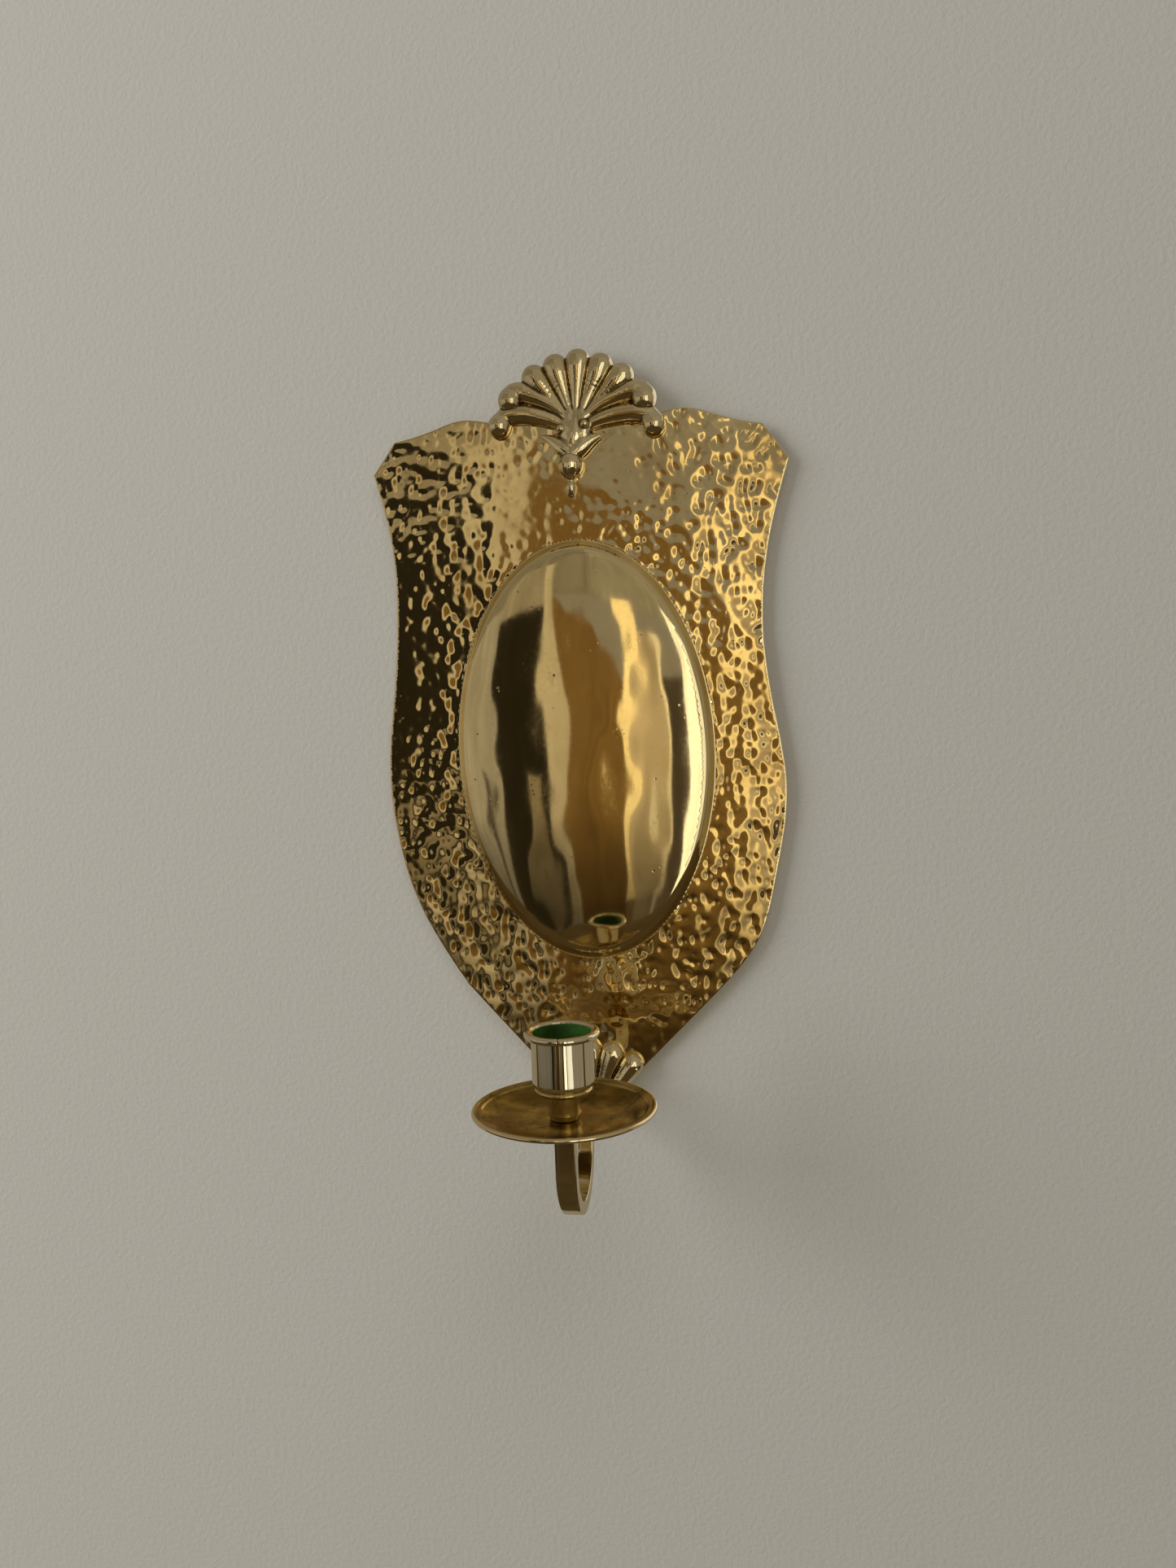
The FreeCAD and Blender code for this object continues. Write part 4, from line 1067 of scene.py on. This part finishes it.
def bar_section():
    """The bar's section as rows of (side of x, side of n, cut from x, cut from n).

    The sides are from -1 to 1. A cut is how far a point lies inside that face, and None stands for a
    point between the two edges, which scales with the bar."""
    corner = [(1 - math.cos(a), 1 - math.sin(a)) for a in np.radians((0, 30, 60, 90))]
    section = []
    for sign_x, sign_n, order in ((1, 1, 1), (-1, 1, -1), (-1, -1, 1), (1, -1, -1)):
        for cut_x, cut_n in corner[::order]:
            section.append((sign_x, sign_n, cut_x * BAR_EDGE, cut_n * BAR_EDGE))
        if sign_x * sign_n > 0:
            section += [(sign_x * share, sign_n, None, 0.0) for share in (0.6, 0.2, -0.2, -0.6)]
        else:
            section += [(sign_x, sign_n * share, 0.0, None) for share in (0.5, 0.0, -0.5)]
    return section


def arm_piece():
    """A flat bar swept along the path, narrower towards the plate, with broken edges, and its stud."""
    low, high = node_box("arm")
    middle_x, half_front = (low[0] + high[0]) / 2, (high[0] - low[0]) / 2
    start_y = BEND_CENTRE[0] - BEND_RADIUS - BAR_HALF
    end_y = start_y + BAR_HALF + 2 * BEND_RADIUS
    section = bar_section()
    path = arm_path()
    points = []
    for y, z, heading in path:
        across = (-math.sin(heading), math.cos(heading))
        for side_x, side_n, cut_x, cut_n in section:
            n = side_n * BAR_HALF if cut_n is None else math.copysign(BAR_HALF - cut_n, side_n)
            py, pz = y + across[0] * n, z + across[1] * n
            share = min(1.0, max(0.0, (py - start_y) / (end_y - start_y)))
            half = half_front + (ROOT_HALF - half_front) * share
            x = side_x * half if cut_x is None else math.copysign(half - cut_x, side_x)
            points.append((middle_x + x, py, pz))
    faces = tube(len(path), len(section))
    stud_start = len(points)
    for y, radius in STUD:
        points += [(middle_x + radius * math.cos(a), y, ROOT_Z + radius * math.sin(a))
                   for a in np.arange(STUD_SIDES) * 2 * math.pi / STUD_SIDES]
    faces += tube(len(STUD), STUD_SIDES, stud_start, reverse=True)
    mesh_piece("arm_bar", points, faces, BAR, "arm", sharp=38)


arm_piece()


# ---------------------------------------------------------------- CAD nodes that stay
for name, material in (("arm_washer", FASTENER), ("arm_nut", FASTENER), ("cup_screw", FASTENER),
                       ("crest_screws", FASTENER), ("shell_screws", FASTENER), ("hanger_strap", DULL),
                       ("cup_liner", LINING)):
    mesh = NODES[name].data
    mesh.materials.clear()
    mesh.materials.append(material)
    for polygon in mesh.polygons:
        polygon.material_index = 0


# ---------------------------------------------------------------- wall, floor and light
def plain_surface(name, colour, roughness, see_through_back=False):
    """A matt painted surface with a faint roller texture."""
    material, tree, shader, place = new_material(name)
    shader.inputs["Base Color"].default_value = (*colour, 1.0)
    shader.inputs["Roughness"].default_value = roughness
    shader.inputs["Specular IOR Level"].default_value = 0.1
    stipple = texture(tree, "Noise", place, 420.0, Detail=4.0, Roughness=0.6)
    link(tree, bump(tree, stipple, 0.0006, 0.6), "Normal", shader, "Normal")
    if see_through_back:
        side = node(tree, "NewGeometry")
        clear = node(tree, "BsdfTransparent")
        either = node(tree, "MixShader")
        link(tree, side, "Backfacing", either, 0)
        link(tree, shader, 0, either, 1)
        link(tree, clear, 0, either, 2)
        link(tree, either, 0, tree.nodes["Material Output"], "Surface")
    return material


def staged(name, material, corners, faces=((0, 1, 2, 3),)):
    """A surface beside the sconce, left as a loose object and not attached to its body."""
    mesh = bpy.data.meshes.new(name)
    mesh.from_pydata(corners, [], faces)
    mesh.materials.append(material)
    panel = new_object(name, mesh)
    return panel


FLOOR_Z = -1.15
wall = staged("wall", plain_surface("wall_paint", (0.645, 0.642, 0.60), 0.9, see_through_back=True),
              [(-4, 0, FLOOR_Z), (4, 0, FLOOR_Z), (4, 0, 2.4), (-4, 0, 2.4)])
wall.visible_glossy = False
wall.visible_shadow = False
floor = staged("floor", plain_surface("floor_paint", (0.60, 0.57, 0.50), 0.8),
               [(-4, -4, FLOOR_Z), (4, -4, FLOOR_Z), (4, 4, FLOOR_Z), (-4, 4, FLOOR_Z)])
floor.visible_glossy = False

ROOM = (0.30, 0.27, 0.225)
world = bpy.data.worlds.new("pale_room")
bpy.context.scene.world = world
world.use_nodes = True
world.node_tree.nodes["Background"].inputs["Color"].default_value = (*ROOM, 1.0)
world.node_tree.nodes["Background"].inputs["Strength"].default_value = 0.85


STREAK_STRETCH = (1.0, 1.0, 0.16)
FADED_SHARE = 0.20               # brightness left at the foot of a card that fades


def card(name, across, up, distance, colour, fade=None, far_top=None):
    """A curved lit card in front of the sconce, seen only in reflections.

    across is its span in degrees from straight ahead towards -X, up its span above the level, and
    far_top the height of its top at the far end of the span, where that differs. fade gives the heights
    in metres between which the card darkens downwards."""
    centre = Vector((0.0, 0.0, OVAL_CENTRE[1] * MM))
    columns, rows = 8, 6
    corners = []
    for i in range(rows + 1):
        for k in range(columns + 1):
            top = up[1] if far_top is None else up[1] + (far_top - up[1]) * k / columns
            rise = math.radians(up[0] + (top - up[0]) * i / rows)
            side = math.radians(across[0] + (across[1] - across[0]) * k / columns)
            corners.append(centre + distance * Vector((-math.sin(side), -math.cos(side), math.tan(rise))))
    faces = [(i * (columns + 1) + k, i * (columns + 1) + k + 1, (i + 1) * (columns + 1) + k + 1,
              (i + 1) * (columns + 1) + k) for i in range(rows) for k in range(columns)]
    reflected_only(name, colour, fade, corners, faces)


def reflected_only(name, colour, fade, *shape):
    """A lit, slightly uneven surface that only reflections see. shape is its corners and faces."""
    material = bpy.data.materials.new(name)
    material.use_nodes = True
    tree = material.node_tree
    tree.nodes.clear()
    place = node(tree, "TexCoord")
    streaks = texture(tree, "Noise", scaled(tree, place, STREAK_STRETCH), 9.0, Detail=4.0, Roughness=0.6)
    level = spread(tree, streaks, "Fac", 0.3, 0.7, 0.72, 1.25)
    if fade is not None:
        parts = node(tree, "SeparateXYZ")
        link(tree, place, "Object", parts, 0)
        level = combine(tree, "MULTIPLY", level, spread(tree, parts, "Z", *fade, FADED_SHARE, 1.0))
    glow = node(tree, "Emission")
    glow.inputs["Color"].default_value = (*colour, 1.0)
    link(tree, level, 0, glow, "Strength")
    link(tree, glow, 0, node(tree, "OutputMaterial"), "Surface")
    material.cycles.emission_sampling = "NONE"
    panel = staged(name, material, *shape)
    panel.visible_camera = False
    panel.visible_diffuse = False
    panel.visible_shadow = False


WOOD_FADE = (-0.95, -0.22)
ROOM_FADE = (-1.20, -0.30)
# What stands round the sconce, as rows of card's arguments.
CARDS = (
    ("ceiling_left", (5, 80), (17, 62), 2.6, (0.215, 0.188, 0.14)),
    ("ceiling_right", (-80, 5), (17, 62), 2.6, (0.30, 0.27, 0.205)),
    ("room_left", (29.0, 88), (-42, 17), 2.3, (0.36, 0.325, 0.262), ROOM_FADE),
    ("room_right", (-88, -44), (-42, 17), 2.3, (0.27, 0.24, 0.185)),
    ("wall_post", (32.6, 34.0), (-40, -5), 2.2, (0.05, 0.043, 0.03)),
    ("lintel", (12.6, 30.0), (14.5, 25), 2.25, (0.31, 0.265, 0.19)),
    ("doorway", (16.3, 29.5), (-40, 15.5), 2.2, (0.019, 0.015, 0.008)),
    ("door_edge", (18.0, 21.0), (-40, -4), 2.15, (0.30, 0.24, 0.15), WOOD_FADE),
    ("cream", (12.6, 16.3), (-32, 25), 2.2, (0.50, 0.425, 0.29), WOOD_FADE),
    ("wood", (0.6, 12.6), (-26, 7), 2.2, (0.185, 0.108, 0.034), WOOD_FADE, 17.5),
    ("warm_strip", (-1.9, 0.6), (-20, 18), 2.2, (1.15, 0.91, 0.47), WOOD_FADE),
    ("tan", (-7.5, -1.9), (-26, 14), 2.2, (0.52, 0.41, 0.25), WOOD_FADE),
    ("door_post", (-9.0, -7.5), (-26, 14), 2.2, (0.95, 0.82, 0.55), WOOD_FADE),
    ("shade", (-16.0, -9.0), (-34, 8), 2.2, (0.07, 0.052, 0.034)),
    ("window_left", (-24.0, -16.0), (-24, 20), 2.2, (1.5, 1.43, 1.2)),
    ("window_bar", (-26.5, -24.0), (-24, 22), 2.2, (0.20, 0.18, 0.14)),
    ("window_right", (-44.0, -26.5), (-24, 22), 2.2, (1.1, 1.08, 0.96)),
)
for row in CARDS:
    card(*row)
# What the brass shows of the floor: dark boards in front of the wall and pale ones behind it.
BOARDS_Z = -1.12
for name, near, far, colour in (("boards", -9.0, 0.35, (0.062, 0.043, 0.02)),
                                ("boards_behind", 0.35, 9.0, (0.27, 0.235, 0.175))):
    reflected_only(name, colour, None,
                   [(-9, near, BOARDS_Z), (9, near, BOARDS_Z), (9, far, BOARDS_Z), (-9, far, BOARDS_Z)])


def soft_lamp(name, place, aim, size, power, colour, reflected):
    lamp = bpy.data.lights.new(name, "AREA")
    lamp.shape = "RECTANGLE"
    lamp.size, lamp.size_y = size
    lamp.energy = power
    lamp.color = colour
    holder = new_object(name, lamp)
    holder.location = place
    holder.rotation_mode = "QUATERNION"
    holder.rotation_quaternion = (Vector(aim) - Vector(place)).to_track_quat("-Z", "Y")
    holder.visible_glossy = reflected


soft_lamp("key", (-2.3, -1.2, 0.65), (-0.1, 0, -0.02), (1.8, 1.8), 42.0, (1.0, 0.99, 0.98), False)
soft_lamp("fill", (0.6, -1.6, 2.1), (0.15, 0, 0.5), (1.6, 1.2), 10.5, (1.0, 0.985, 0.97), False)
soft_lamp("rear", (1.3, 1.6, 0.5), (0, 0, -0.12), (2.6, 2.0), 9.0, (1.0, 0.98, 0.95), True)

# ---------------------------------------------------------------- camera
TARGET = Vector((1.8, -4.9, -133.0)) * MM
EYE = Vector((86.7, -512.05, -104.25)) * MM
ROLL = math.radians(2.1)
ahead = (TARGET - EYE).normalized()
level = ahead.cross(Vector((0, 0, 1))).normalized()
upright = level.cross(ahead)
right = level * math.cos(ROLL) - upright * math.sin(ROLL)
up = level * math.sin(ROLL) + upright * math.cos(ROLL)
lens = bpy.data.cameras.new("camera")
lens.lens = 26.0
lens.sensor_width = 36.0
lens.clip_start = 0.01
lens.clip_end = 50.0
camera = new_object("camera", lens)
camera.matrix_world = Matrix.Translation(EYE) @ Matrix((right, up, -ahead)).transposed().to_4x4()
bpy.context.scene.camera = camera

view = bpy.context.scene.view_settings
view.view_transform = "Standard"
view.look = "None"
